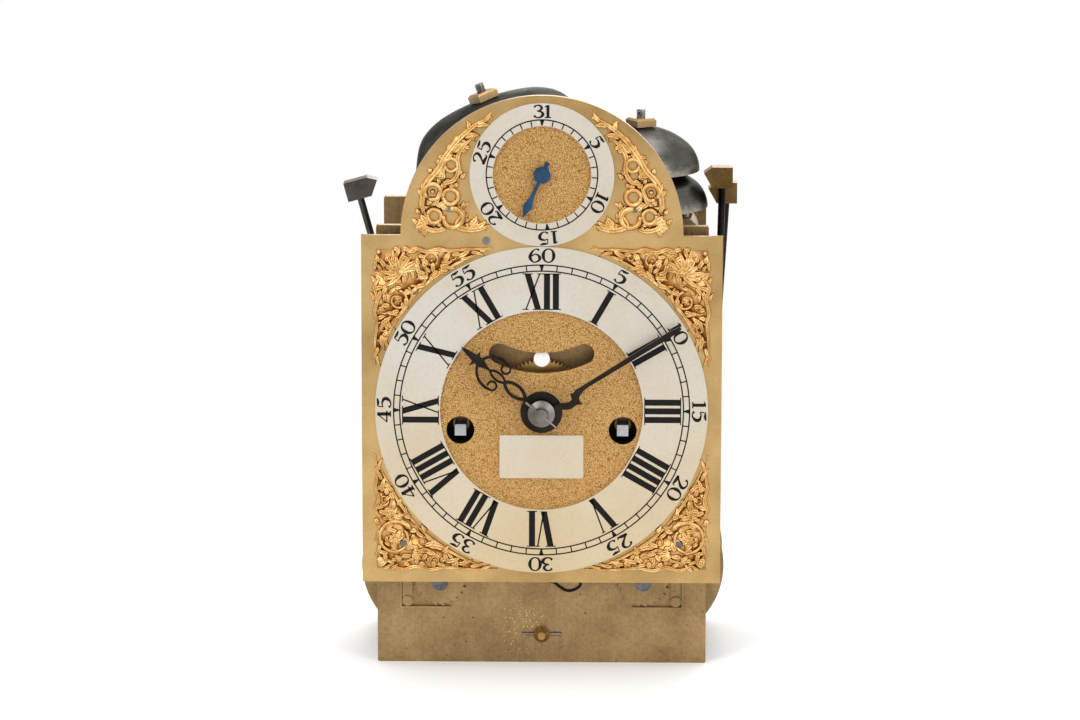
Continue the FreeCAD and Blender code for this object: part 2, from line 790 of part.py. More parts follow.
def ratchet_wheel(x):
    """Set-up ratchet on the front plate."""
    points = []
    step = 360 / ratchet_teeth
    for n in range(ratchet_teeth):
        points.append(polar(x, barrel_z, ratchet_r, n * step))
        points.append(polar(x, barrel_z, ratchet_r - ratchet_depth, n * step))
    wheel = flat(list(reversed(points)), front_face - ratchet_thick, front_face)
    bore = rod(x, barrel_z, front_face - ratchet_thick - cut_over, front_face + cut_over,
               barrel_pivot_r + fit_gap)
    return wheel.cut(bore)


def click_frame(x):
    """Pivot and aim of a click, on the outer low side of its ratchet."""
    side = 1 if x > 0 else -1
    away = ratchet_r + air_gap + click_width / 2
    return x + side * away, barrel_z - click_drop_share * click_length, side


def click(x):
    """Click with its screw, pointing at the ratchet's teeth."""
    px, pz, side = click_frame(x)
    half = click_width / 2
    top = pz + click_length
    points = [(px - half, pz), (px + half, pz), (px + half, top - half), (px - side * half, top)]
    if side > 0:
        points.append((px - half, top - click_width))
    else:
        points = [(px - half, pz), (px + half, pz), (px + half, top), (px - half, top - half)]
    body = flat(points, front_face - ratchet_thick, front_face)
    screw = rod(px, pz, front_face - ratchet_thick - click_screw_rise, front_face, click_screw_r)
    return fused([body, screw])


def click_spring(x):
    """Bent strip that presses a click home."""
    px, pz, side = click_frame(x)
    inner = px + side * (click_width / 2 + air_gap)
    outer = inner + side * click_spring_thick
    low, high = sorted((inner, outer))
    strip = block(low, high, front_face - ratchet_thick, front_face, pz, pz + click_length)
    foot_x = outer - side * click_spring_length
    low, high = sorted((foot_x, outer))
    base_z = pz - click_screw_r - air_gap
    base = block(low, high, front_face - ratchet_thick, front_face, base_z - click_spring_thick, base_z)
    low, high = sorted((inner, outer))
    joint = block(low, high, front_face - ratchet_thick, front_face, base_z - click_spring_thick, pz)
    return fused([strip, base, joint])


def centre_arbor():
    """Centre arbor: its pinion meets the going great wheel and its front carries the cannon."""
    pinion_y = front_inner + great_wheel_y + wheel_thick / 2
    phase = great_a + 180 + half_leaf_step
    half = pinion_leaf_length / 2
    leaves = toothed(0, hands_z, train_leaves, great_module, phase, leaf_form,
                     pinion_y - half, pinion_y + half)
    front = rod(0, hands_z, minute_hand_back, back_inner - air_gap, centre_front_r)
    body = rod(0, hands_z, front_inner + air_gap, back_inner - air_gap, centre_r)
    return fused([body, front, rod(0, hands_z, back_inner - cut_over, back_face, centre_pivot_r), leaves])


def centre_wheel():
    """Centre wheel near the back plate."""
    y0 = front_inner + centre_wheel_y
    bore = centre_r + fit_gap
    return crossed_wheel(0, hands_z, centre_teeth, centre_module, 90, bore, y0, y0 + wheel_thick)


def contrate_arbor():
    """Contrate arbor, its pinion driven by the centre wheel."""
    leaf_y = front_inner + centre_wheel_y + wheel_thick / 2
    return arbor(0, contrate_z, centre_module, -90 + half_leaf_step, leaf_y)


def face_wheel(outer_r, wall, web, height, hub_bore, gaps):
    """Cup-shaped wheel about Z with cuts across its rim; its rim ends at zero height."""
    rim = Part.makeCylinder(outer_r, height, FreeCAD.Vector(0, 0, -height))
    cup = Part.makeCylinder(outer_r - wall, height, FreeCAD.Vector(0, 0, web - height))
    bore = Part.makeCylinder(hub_bore, height, FreeCAD.Vector(0, 0, -height - cut_over))
    cutters = []
    for points, angle in gaps:
        corners = [FreeCAD.Vector(outer_r - wall - cut_over, t, h) for t, h in points]
        face = Part.Face(Part.makePolygon(corners + corners[:1]))
        cutter = face.extrude(FreeCAD.Vector(wall + 2 * cut_over, 0, 0))
        cutter.rotate(FreeCAD.Vector(0, 0, 0), Z_AXIS, angle)
        cutters.append(cutter)
    return rim.cut(cup).cut(bore).cut(Part.makeCompound(cutters))


def contrate_wheel():
    """Contrate wheel, its teeth to the back, set by the crown arbor's pinion."""
    pitch = math.pi * contrate_module
    depth = (tooth_addendum_share + tooth_root_share) * contrate_module
    slope = (tooth_pitch_half_share - tooth_tip_half_share) / tooth_addendum_share
    root_half = tooth_pitch_half_share + slope * tooth_root_share
    wide = (0.5 - tooth_tip_half_share) * pitch
    narrow = (0.5 - root_half) * pitch
    outline = [(-narrow, -depth), (narrow, -depth), (wide, 0), (-wide, 0)]
    step = 360 / contrate_teeth
    gaps = [(outline, -90 + (n + 0.5) * step) for n in range(contrate_teeth)]
    outer = contrate_pitch_r + contrate_rim / 2
    wheel = face_wheel(outer, contrate_rim, contrate_web, depth + contrate_depth,
                       slim(centre_module)[0] + fit_gap, gaps)
    for n in range(wheel_arms):
        opening = Part.makeCylinder(contrate_pitch_r / wheel_arms, contrate_depth, FreeCAD.Vector(
            contrate_pitch_r / 2 + contrate_rim, 0, -depth - contrate_depth - cut_over))
        opening.rotate(FreeCAD.Vector(0, 0, 0), Z_AXIS, (n + 0.5) * 360 / wheel_arms)
        wheel = wheel.cut(opening)
    wheel.rotate(FreeCAD.Vector(0, 0, 0), FreeCAD.Vector(1, 0, 0), -90)
    tip_y = crown_y - crown_pinion_r + tooth_addendum_share * contrate_module
    wheel.translate(FreeCAD.Vector(0, tip_y, contrate_z))
    return wheel


def crown_arbor():
    """Upright crown arbor with its pinion at the contrate wheel's top."""
    r, pivot = slim(contrate_module)
    middle = contrate_z + contrate_pitch_r
    half = pinion_leaf_length / 2
    outline = tooth_points(train_leaves, contrate_module, -90 + half_leaf_step, leaf_form)
    corners = [FreeCAD.Vector(px, crown_y + py, middle - half) for px, py in outline]
    face = Part.Face(Part.makePolygon(corners + corners[:1]))
    leaves = face.extrude(FreeCAD.Vector(0, 0, pinion_leaf_length))
    low = potence_low_z
    shoulder = low + potence_arm + air_gap
    top = crown_tip_z - crown_height + crown_web
    ends = Part.makeCylinder(pivot, shoulder - low + cut_over, FreeCAD.Vector(0, crown_y, low))
    body = Part.makeCylinder(r, top - shoulder, FreeCAD.Vector(0, crown_y, shoulder))
    return fused([body, ends, leaves])


def crown_wheel():
    """Crown wheel with an odd number of pointed saw teeth, facing the verge."""
    pitch = 2 * math.pi * (crown_outer_r - crown_wall / 2) / crown_teeth
    wide = pitch * (1 - crown_tooth_gap_share / 2)
    outline = [(0, -crown_tooth), (pitch * crown_tooth_gap_share, -crown_tooth), (wide, 0), (0, 0)]
    gaps = [(outline, n * 360 / crown_teeth) for n in range(crown_teeth)]
    wheel = face_wheel(crown_outer_r, crown_wall, crown_web, crown_height,
                       slim(contrate_module)[0] + fit_gap, gaps)
    wheel.translate(FreeCAD.Vector(0, crown_y, crown_tip_z))
    return wheel


def potence():
    """Bracket on the back plate that holds the crown arbor at two heights."""
    half = potence_width / 2
    high_z = crown_tip_z - crown_height - potence_web_gap
    foot = block(-half, half, back_inner - potence_foot, back_inner, potence_low_z, high_z)
    reach = crown_y - potence_reach
    arms = [block(-half, half, reach, back_inner, z, z + potence_arm)
            for z in (potence_low_z, high_z - potence_arm)]
    r, pivot = slim(contrate_module)
    low_hole = Part.makeCylinder(pivot + run_gap, potence_arm + 2 * cut_over,
                                 FreeCAD.Vector(0, crown_y, potence_low_z - cut_over))
    high_hole = Part.makeCylinder(r + run_gap, potence_arm + 2 * cut_over,
                                  FreeCAD.Vector(0, crown_y, high_z - potence_arm - cut_over))
    return fused([foot] + arms).cut(low_hole).cut(high_hole)


def verge():
    """Verge arbor with its two pallet flags over the crown wheel's rim."""
    end = pendulum_y + pendulum_hub_length / 2
    staff = rod(0, verge_z, dial_back + air_gap, end, verge_r)
    flags = []
    for side in (-1, 1):
        y = crown_y + side * (crown_outer_r - crown_wall / 2)
        half = pallet_width / 2
        flag = block(-pallet_thick / 2, pallet_thick / 2, y - half, y + half,
                     verge_z - verge_r - pallet_length, verge_z)
        flag.rotate(FreeCAD.Vector(0, 0, verge_z), Y_AXIS, side * pallet_angle)
        flags.append(flag)
    return fused([staff] + flags)


def verge_cock():
    """Bridge behind the back plate that carries the verge's back end."""
    rise = cock_height / 2
    bar = block(-cock_half_span, cock_half_span, cock_front, cock_back, verge_z - rise, verge_z + rise)
    feet = []
    for side in (-1, 1):
        low, high = sorted((side * cock_half_span, side * (cock_half_span - cock_foot)))
        feet.append(block(low, high, back_face, cock_front, verge_z - rise, verge_z + rise))
    hole = rod(0, verge_z, cock_front - cut_over, cock_back + cut_over, verge_r + run_gap)
    return fused([bar] + feet).cut(hole)


def pendulum_rod():
    """Pendulum rod with its hub on the verge and a thread below the bob."""
    half = pendulum_hub_length / 2
    hub = rod(0, verge_z, pendulum_y - half, pendulum_y + half, pendulum_hub_r)
    low = verge_z - pendulum_length - bob_r - rating_nut_length - rating_thread
    stem = Part.makeCylinder(pendulum_rod_r, verge_z - low, FreeCAD.Vector(0, pendulum_y, low), Z_AXIS)
    bore = rod(0, verge_z, pendulum_y - half - cut_over, pendulum_y + half + cut_over, verge_r + fit_gap)
    return fused([hub, stem]).cut(bore)


def pendulum_bob():
    """Lens-shaped bob and its rating nut."""
    z = verge_z - pendulum_length
    half = bob_thick / 2
    edge = bob_edge / 2
    front = [FreeCAD.Vector(0, pendulum_y - half, z), FreeCAD.Vector(bob_r * bob_mid_share,
             pendulum_y - half * bob_swell_share, z), FreeCAD.Vector(bob_r, pendulum_y - edge, z)]
    back = [FreeCAD.Vector(v.x, 2 * pendulum_y - v.y, z) for v in front]
    edges = [Part.Arc(*front).toShape(), Part.makeLine(front[2], back[2])]
    edges += [Part.Arc(*reversed(back)).toShape(), Part.makeLine(back[0], front[0])]
    lens = Part.Face(Part.Wire(edges)).revolve(FreeCAD.Vector(0, 0, z), Y_AXIS, 360)
    nut_z = z - bob_r - rating_nut_length
    nut = Part.makeCylinder(rating_nut_r, rating_nut_length, FreeCAD.Vector(0, pendulum_y, nut_z), Z_AXIS)
    bore = Part.makeCylinder(pendulum_rod_r + fit_gap, 2 * bob_r + 2 * rating_nut_length,
                             FreeCAD.Vector(0, pendulum_y, nut_z - rating_nut_length), Z_AXIS)
    return group([lens.cut(bore), nut.cut(bore)])


def mock_pendulum():
    """Arm and disc that swing behind the dial's slot."""
    y0 = dial_back + air_gap
    y1 = y0 + mock_thick
    half = mock_arm_width / 2
    hub = rod(0, verge_z, y0, y1 + mock_hub_r, mock_hub_r)
    arm = block(-half, half, y0, y1, verge_z - mock_arc_r, verge_z)
    disc = rod(0, verge_z - mock_arc_r, y0, y1, mock_r)
    bore = rod(0, verge_z, y0 - cut_over, y1 + mock_hub_r + cut_over, verge_r + fit_gap)
    return fused([hub, arm, disc]).cut(bore)


def cannon_wheel():
    """Cannon pipe and wheel that carry the minute hand."""
    wheel = toothed(0, hands_z, cannon_teeth, cannon_module, -90, wheel_form,
                    cannon_front, cannon_front + motion_wheel_thick)
    pipe = rod(0, hands_z, nose_y, cannon_front + motion_wheel_thick, cannon_r)
    back = cannon_front + motion_wheel_thick + cut_over
    bore = rod(0, hands_z, minute_hand_back - cut_over, back, cannon_r - cannon_wall)
    return fused([wheel, pipe]).cut(bore).cut(hand_pin_rod(hand_pin_r + fit_gap, hand_pin_r + fit_gap))


def hand_pin_rod(r0, r1):
    """Rod across the cannon nose, at the pin's angle."""
    y = nose_y + cannon_nose / 2
    turn = math.radians(hand_pin_angle)
    aim = FreeCAD.Vector(math.cos(turn), 0, -math.sin(turn))
    start = FreeCAD.Vector(0, y, hands_z) - aim * (hand_pin_length / 2)
    if r0 == r1:
        return Part.makeCylinder(r0, hand_pin_length, start, aim)
    return Part.makeCone(r0, r1, hand_pin_length, start, aim)


def minute_wheel():
    """Minute wheel and pinion on one arbor in the front plate."""
    wheel = toothed(0, minute_wheel_z, cannon_teeth, cannon_module, 90 + 180 / cannon_teeth, wheel_form,
                    cannon_front, cannon_front + motion_wheel_thick)
    leaves = toothed(0, minute_wheel_z, train_leaves, hour_module, 90 + half_leaf_step, leaf_form,
                     hour_wheel_front - hour_wheel_gap / 2, cannon_front)
    staff = rod(0, minute_wheel_z, cannon_front, front_inner, minute_arbor_r)
    return fused([wheel, leaves, staff])


def hour_wheel():
    """Hour wheel and pipe that turn on the cannon."""
    wheel = toothed(0, hands_z, hour_teeth, hour_module, -90, wheel_form, hour_wheel_front, hour_wheel_back)
    pipe = rod(0, hands_z, hour_hand_y, hour_wheel_front, hour_pipe_r)
    bore = rod(0, hands_z, hour_hand_y - cut_over, hour_wheel_back + cut_over, cannon_r + run_gap)
    return fused([wheel, pipe]).cut(bore)


def bar(start, end, w0, w1, y0, y1):
    """Tapered bar between two (x, z) points."""
    d, a = bearing(start[0], start[1], end[0], end[1])
    side = [polar(start[0], start[1], w0 / 2, a + 90), polar(start[0], start[1], w0 / 2, a - 90),
            polar(end[0], end[1], w1 / 2, a - 90), polar(end[0], end[1], w1 / 2, a + 90)]
    return flat(side, y0, y1)


def placed_hand(shape, x, z, angle):
    """Hand turned clockwise from twelve about its own centre and set in place."""
    shape.rotate(FreeCAD.Vector(0, 0, 0), Y_AXIS, angle)
    shape.translate(FreeCAD.Vector(x, 0, z))
    return shape


def bow(start, end, bulge, width, y0, y1):
    """Bent bar with round ends between two (x, z) points, bulging to the right of the way it runs."""
    d, a = bearing(start[0], start[1], end[0], end[1])
    r = (d * d / 4 + bulge * bulge) / (2 * bulge)
    middle = ((start[0] + end[0]) / 2, (start[1] + end[1]) / 2)
    centre = polar(middle[0], middle[1], r - bulge, a + 90)
    half = math.degrees(math.asin(d / (2 * r)))
    if bulge > d / 2:
        half = 180 - half
    return bent_slot(centre[0], centre[1], r, width / 2, a - 90 - half, a - 90 + half, y0, y1)


def both_ways(points):
    """Outline of a symmetrical leaf from the (u, v) points of its right half."""
    return [(v, u) for u, v in points] + [(-v, u) for u, v in reversed(points) if v > 0]


def scaled(shares, length):
    """Share points as lengths."""
    return [tuple(share * length for share in point) for point in shares]


def minute_hand():
    """Minute hand: boss, S-shaped curl with two barbs and a long blade."""
    y0, y1 = minute_hand_y, minute_hand_back
    pieces = [rod(0, 0, y0, y1, minute_boss_r)]
    pieces.append(flat([(v, u) for u, v in scaled(minute_curl_shares, minute_hand_length)], y0, y1))
    pieces.append(flat(both_ways(scaled(minute_blade_shares, minute_hand_length)), y0, y1))
    bore = rod(0, 0, y0 - cut_over, y1 + cut_over, cannon_r + fit_gap)
    return placed_hand(fused(pieces).cut(bore), 0, hands_z, minute_hand_angle)


def hour_hand():
    """Pierced hour hand: boss, two open loops, a pair of curled scrolls and a barbed tip."""
    y0 = hour_hand_y
    y1 = y0 + hand_thick
    length = hour_hand_length
    pieces = [rod(0, 0, y0, y1, hour_boss_r)]
    for u0, u1, bulge, width in scaled(hour_loop_shares, length):
        pieces.append(bow((0, u0), (0, u1), bulge, width, y0, y1))
        pieces.append(bow((0, u1), (0, u0), bulge, width, y0, y1))
    u, v, r, width = (share * length for share in hour_curl_shares)
    arm_u, arm_v, arm_bulge, arm_width = (share * length for share in hour_arm_shares)
    for side in (-1, 1):
        turn = (-hour_curl_turn, 0) if side > 0 else (180, 180 + hour_curl_turn)
        pieces.append(bent_slot(side * v, u, r, width / 2, turn[0], turn[1], y0, y1))
        ends = [(side * (v + r), u), (side * arm_v, arm_u)]
        if side < 0:
            ends.reverse()
        pieces.append(bow(ends[0], ends[1], arm_bulge, arm_width, y0, y1))
    pieces.append(flat(both_ways(scaled(hour_tip_shares, length)), y0, y1))
    bore = rod(0, 0, y0 - cut_over, y1 + cut_over, hour_pipe_r + fit_gap)
    return placed_hand(fused(pieces).cut(bore), 0, hands_z, hour_hand_angle)


def hand_collet():
    """Domed collet in front of the minute hand."""
    bore = cannon_r + fit_gap
    profile = [(bore, minute_hand_y), (collet_r, minute_hand_y)]
    profile += [(collet_r, minute_hand_y - collet_height * collet_rim_share), (collet_flat_r, collet_front)]
    profile += [(bore, collet_front)]
    return turned(0, hands_z, profile)


def hand_pin():
    """Taper pin through the cannon nose."""
    return hand_pin_rod(hand_pin_r, hand_pin_r * pillar_pin_taper_share)


def date_hand():
    """Date hand with its boss, tail, leaf pointer and arbor."""
    y0 = dial_front - date_hand_front
    y1 = y0 + hand_thick
    leaf = both_ways(scaled(date_leaf_shares, date_hand_length))
    pieces = [rod(0, 0, y0, y1, date_boss_r), flat(leaf, y0, y1)]
    pieces.append(bar((0, -date_hand_tail), (0, 0), date_tail_width, date_tail_width, y0, y1))
    back = dial_back + run_gap
    pieces.append(rod(0, 0, y1, back + date_washer_thick, date_arbor_r))
    pieces.append(rod(0, 0, back, back + date_washer_thick, date_washer_r))
    return placed_hand(fused(pieces), 0, date_z, date_hand_angle)


def strike_arbor_wheel(x, z, teeth, wheel_module, wheel_phase, leaf_module, leaf_phase, leaf_y, wheel_y):
    """Wheel of the striking train riveted on its arbor."""
    staff = arbor(x, z, leaf_module, leaf_phase, leaf_y)
    y0 = front_inner + wheel_y
    wheel = crossed_wheel(x, z, teeth, wheel_module, wheel_phase, slim(leaf_module)[0] * arbor_of_root_share,
                          y0, y0 + wheel_thick)
    return staff, wheel


def pin_wheel():
    """Pin wheel, whose pins lift the hour hammer's tail."""
    leaf_y = front_inner + strike_great_wheel_y + wheel_thick / 2
    staff, wheel = strike_arbor_wheel(pin_wheel_x, pin_wheel_z, pin_wheel_teeth, pin_module, pin_a,
                                      strike_module, strike_a + 180 + half_leaf_step, leaf_y, pin_wheel_y)
    y1 = front_inner + pin_wheel_y
    pins = []
    for n in range(pin_count):
        x, z = polar(pin_wheel_x, pin_wheel_z, pin_wheel_teeth * pin_module / 2 * (1 - wheel_rim_share / 2),
                     (n + 0.5) * 360 / pin_count)
        pins.append(rod(x, z, y1 - pin_length, y1, pin_r))
    return fused([staff, wheel] + pins)


def pallet_wheel():
    """Gathering wheel of the striking train."""
    leaf_y = front_inner + pin_wheel_y + wheel_thick / 2
    staff, wheel = strike_arbor_wheel(pallet_wheel_x, pallet_wheel_z, pallet_wheel_teeth,
                                      pallet_warning_module, warning_wheel_angle, pin_module,
                                      pin_a + 180 + half_leaf_step, leaf_y, pallet_wheel_y)
    return fused([staff, wheel])


def warning_wheel():
    """Warning wheel near the front plate."""
    leaf_y = front_inner + pallet_wheel_y + wheel_thick / 2
    staff, wheel = strike_arbor_wheel(warning_x, warning_z, warning_teeth, fly_module, fly_angle,
                                      pallet_warning_module, warning_wheel_angle + 180 + half_leaf_step,
                                      leaf_y, warning_wheel_y)
    return fused([staff, wheel])


def fly():
    """Fly: a thin vane on the last arbor, which steadies the striking."""
    leaf_y = front_inner + warning_wheel_y + wheel_thick / 2
    staff = arbor(fly_x, fly_z, fly_module, fly_angle + 180 + half_leaf_step, leaf_y)
    y0 = front_inner + fly_vane_y
    half = fly_vane_thick / 2
    vane = block(fly_x - fly_vane_r, fly_x + fly_vane_r, y0, y0 + fly_vane_length, fly_z - half, fly_z + half)
    return fused([staff, vane])


def crown_radius(r, height):
    """Radius of the round crown of a bell, from its pole to its shoulder."""
    out = bell_shoulder_r_share * r
    down = bell_shoulder_depth_share * height
    return (out ** 2 + down ** 2) / (2 * down)


def crown_drop(r, height, out):
    """How far a bell's crown has fallen at a distance from its axis."""
    crown = crown_radius(r, height)
    return crown - math.sqrt(crown ** 2 - out ** 2)


def bell_wall_edges(r, height, top):
    """Points on the crown arc and on the side arc that runs on from it to the mouth."""
    crown = crown_radius(r, height)
    slope = math.asin(bell_shoulder_r_share * r / crown)
    crown_points = [FreeCAD.Vector(crown * math.sin(a), 0, top - crown * (1 - math.cos(a)))
                    for a in (0, slope / 2, slope)]
    shoulder = crown_points[-1]
    mouth = FreeCAD.Vector(r, 0, top - height)
    chord = mouth - shoulder
    turn = math.atan2(-chord.z, chord.x) - slope
    middle = (shoulder + mouth) * 0.5
    normal = FreeCAD.Vector(-chord.z, 0, chord.x).normalize()
    middle = middle + normal * (chord.Length / 2 * math.tan(turn / 2))
    return crown_points + [middle, mouth]


def bell(x, y, z, r, height, tilt):
    """Bell of even wall, open below, with a hole at its pole for the stud."""
    outer = bell_wall_edges(r, height, 0)
    inner = bell_wall_edges(r - bell_wall, height - bell_wall, -bell_wall)
    edges = [Part.Arc(*outer[:3]).toShape(), Part.Arc(*outer[2:]).toShape(),
             Part.makeLine(outer[-1], inner[-1])]
    inner.reverse()
    edges += [Part.Arc(*inner[:3]).toShape(), Part.Arc(*inner[2:]).toShape(),
              Part.makeLine(inner[-1], outer[0])]
    shell = Part.Face(Part.Wire(edges)).revolve(FreeCAD.Vector(0, 0, 0), Z_AXIS, 360)
    hole = Part.makeCylinder(bell_stud_r + fit_gap, height, FreeCAD.Vector(0, 0, -height / 2))
    return tilted(shell.cut(hole), x, y, z, tilt)


def tilted(shape, x, y, z, tilt):
    """Piece drawn about the upright line through zero, leaned to the left and set in place."""
    shape.rotate(FreeCAD.Vector(0, 0, 0), Y_AXIS, -tilt)
    shape.translate(FreeCAD.Vector(x, y, z))
    return shape


def upright(r, z0, z1):
    """Round bar up the line through zero."""
    return Part.makeCylinder(r, z1 - z0, FreeCAD.Vector(0, 0, z0), Z_AXIS)


def bell_nut(x, y, z, tilt):
    """Square nut on a bell's pole."""
    half = bell_nut_width / 2
    nut = block(-half, half, -half, half, 0, bell_nut_height)
    nut = nut.cut(upright(bell_stud_r + fit_gap, -cut_over, bell_nut_height + cut_over))
    nut.rotate(FreeCAD.Vector(0, 0, 0), Z_AXIS, bell_nut_turn)
    return tilted(nut, x, y, z, tilt)


def bell_nuts():
    """Nuts of the hour bell and of the two quarter bells."""
    hour = bell_nut(hour_bell_pole_x, hour_bell_y, hour_bell_pole_z, hour_bell_tilt)
    quarter = bell_nut(quarter_bell_x, quarter_bell_y, upper_bell_pole_z, 0)
    return group([hour, quarter])


def seat_drop(r, height):
    """How far below the inner pole a flat seat meets the inside of a bell."""
    return crown_drop(r - bell_wall, height - bell_wall, bell_seat_r)


def hour_bell_stand():
    """Steel strap from the back plate to the post under the hour bell."""
    low = -hour_bell_height - hour_post_below
    seat_top = -bell_wall - seat_drop(hour_bell_r, hour_bell_height)
    post = fused([upright(bell_post_r, low, seat_top - bell_seat_height),
                  upright(bell_seat_r, seat_top - bell_seat_height, seat_top),
                  upright(bell_stud_r, seat_top, bell_stud_rise)])
    post = tilted(post, hour_bell_pole_x, hour_bell_y, hour_bell_pole_z, hour_bell_tilt)
    lean = math.radians(hour_bell_tilt)
    base_x = hour_bell_pole_x - low * math.sin(lean)
    base_z = hour_bell_pole_z + low * math.cos(lean)
    half = stand_width / 2
    end_y = back_face + stand_thick
    top_z = base_z + stand_thick / 2
    corners = [(base_x - half, hour_bell_y - half), (base_x + half, hour_bell_y - half),
               (base_x + half, hour_bell_y + half), (hour_stand_foot_x + half, end_y),
               (hour_stand_foot_x - half, end_y), (hour_stand_foot_x - half, back_face),
               (base_x - half, hour_bell_y)]
    points = [FreeCAD.Vector(x, y, top_z - stand_thick) for x, y in corners]
    strap = Part.Face(Part.makePolygon(points + points[:1])).extrude(FreeCAD.Vector(0, 0, stand_thick))
    foot = block(hour_stand_foot_x - half, hour_stand_foot_x + half, back_face, end_y,
                 plate_height - hour_stand_foot_height, top_z)
    return fused([post, strap, foot])


def quarter_bell_stand():
    """Bracket inside the back plate with the post of the two quarter bells, and their spacer."""
    half = stand_width / 2
    x, y = quarter_bell_x, quarter_bell_y
    z1 = quarter_stand_z + stand_thick
    lower_seat = lower_bell_pole_z - bell_wall - seat_drop(lower_bell_r, lower_bell_height)
    upper_seat = upper_bell_pole_z - bell_wall - seat_drop(upper_bell_r, upper_bell_height)
    shelf = block(x - half, x + half, y - half, back_inner, quarter_stand_z, z1)
    foot = block(x - half, x + half, back_inner - stand_thick, back_inner, z1 - quarter_stand_foot_height, z1)
    post = fused([upright(bell_post_r, quarter_stand_z, lower_seat - bell_seat_height),
                  upright(bell_seat_r, lower_seat - bell_seat_height, lower_seat),
                  upright(bell_stud_r, lower_seat, upper_bell_pole_z + bell_stud_rise)])
    post.translate(FreeCAD.Vector(x, y, 0))
    spacer = upright(bell_seat_r, lower_bell_pole_z, upper_seat)
    spacer = spacer.cut(upright(bell_stud_r + fit_gap, lower_bell_pole_z - cut_over, upper_seat + cut_over))
    spacer.translate(FreeCAD.Vector(x, y, 0))
    return group([fused([shelf, foot, post]), spacer])


def hammer_head(x, y, z, tilt, side, length, height, nose):
    """Wedge-nosed head; the nose points to the bell."""
    half = length / 2
    rise = height / 2
    deep = hammer_head_depth / 2
    points = [(-half, -rise), (half, -rise), (half + nose, hammer_nose_rise), (half, rise), (-half, rise)]
    head = flat([(side * px, pz) for px, pz in points], -deep, deep)
    head.rotate(FreeCAD.Vector(0, 0, 0), Y_AXIS, tilt)
    head.translate(FreeCAD.Vector(x, y, z))
    return head


def stem(points, y):
    """Round stem through (x, z) points, with a ball at each turn."""
    pieces = []
    for start, end in zip(points, points[1:]):
        a = FreeCAD.Vector(start[0], y, start[1])
        b = FreeCAD.Vector(end[0], y, end[1])
        pieces.append(Part.makeCylinder(hammer_stem_r, (b - a).Length, a, b - a))
    for x, z in points[1:-1]:
        pieces.append(Part.makeSphere(hammer_stem_r, FreeCAD.Vector(x, y, z)))
    return pieces


def hammer_hub(x, z, y):
    """Hub and arbor of a hammer, pivoted in both plates."""
    half = hammer_hub_length / 2
    return [rod(x, z, front_face, back_face, hammer_arbor_r), rod(x, z, y - half, y + half, hammer_hub_r)]


def spring_tail(x, z):
    """Short arm near the back plate that the hammer's spring presses on."""
    y1 = back_inner - spring_foot / 2
    return bar((x, z), (x, z - spring_tail_length), hammer_tail_thick, hammer_tail_width,
               y1 - spring_blade_width, y1)


def hour_hammer():
    """Hour hammer: leaning stem, steel head and a tail for the pin wheel's pins."""
    x, z, y = hour_hammer_x, hour_hammer_z, hour_bell_y
    lean = -bearing(x, z, hour_head_x, hour_head_z)[1] + 90
    pieces = hammer_hub(x, z, y) + stem([(x, z), (hour_head_x, hour_head_z)], y)
    pieces.append(hammer_head(hour_head_x, y, hour_head_z, lean, 1, hour_head_length, hour_head_height,
                              hour_head_nose))
    tail_y = front_inner + hour_tail_y
    d, a = bearing(x, z, pin_wheel_x, pin_wheel_z)
    pieces.append(bar((x, z), polar(x, z, hour_tail_reach, a), hammer_tail_thick, hammer_tail_width,
                      tail_y, tail_y + hammer_tail_width))
    pieces.append(spring_tail(x, z))
    return fused(pieces)


def quarter_hammer(x, pivot_z, head_x, head_z, y):
    """Quarter hammer: cranked stem, brass head and a finger under the pin barrel."""
    route = [(x, pivot_z), (quarter_stem_x, pivot_z + quarter_crank_rise), (head_x, head_z)]
    pieces = hammer_hub(x, pivot_z, y) + stem(route, y)
    pieces.append(hammer_head(head_x, y, head_z, 0, -1, quarter_head_length, quarter_head_height,
                              quarter_head_nose))
    tip_z = quarter_barrel_z - quarter_barrel_r - quarter_pin_rise - quarter_finger_gap
    half = hammer_tail_width / 2
    pieces.append(bar((x, pivot_z), (quarter_barrel_x, tip_z), hammer_tail_thick, hammer_tail_width,
                      y - half, y + half))
    pieces.append(spring_tail(x, pivot_z))
    return fused(pieces)


def hammer_spring(x, z, side):
    """Blade spring on a foot inside the back plate, beside a hammer's spring tail."""
    y1 = back_inner - spring_foot / 2
    inner = x + side * (hammer_tail_thick / 2 + spring_tail_gap)
    low, high = sorted((inner, inner + side * spring_blade_thick))
    top = z - spring_tail_length / 2
    blade = block(low, high, y1 - spring_blade_width, y1, top - spring_blade_height, top)
    low, high = sorted((inner + side * spring_blade_thick, inner - side * spring_foot))
    foot = block(low, high, y1 - spring_blade_width, back_inner, top - spring_blade_height,
                 top - spring_blade_height + spring_foot)
    return fused([blade, foot])


def hammer_springs():
    """Blade springs of the three hammers."""
    sides = (1, -1, -1)
    return group([hammer_spring(x, z, side) for (x, z), side in zip(hammer_places, sides)])


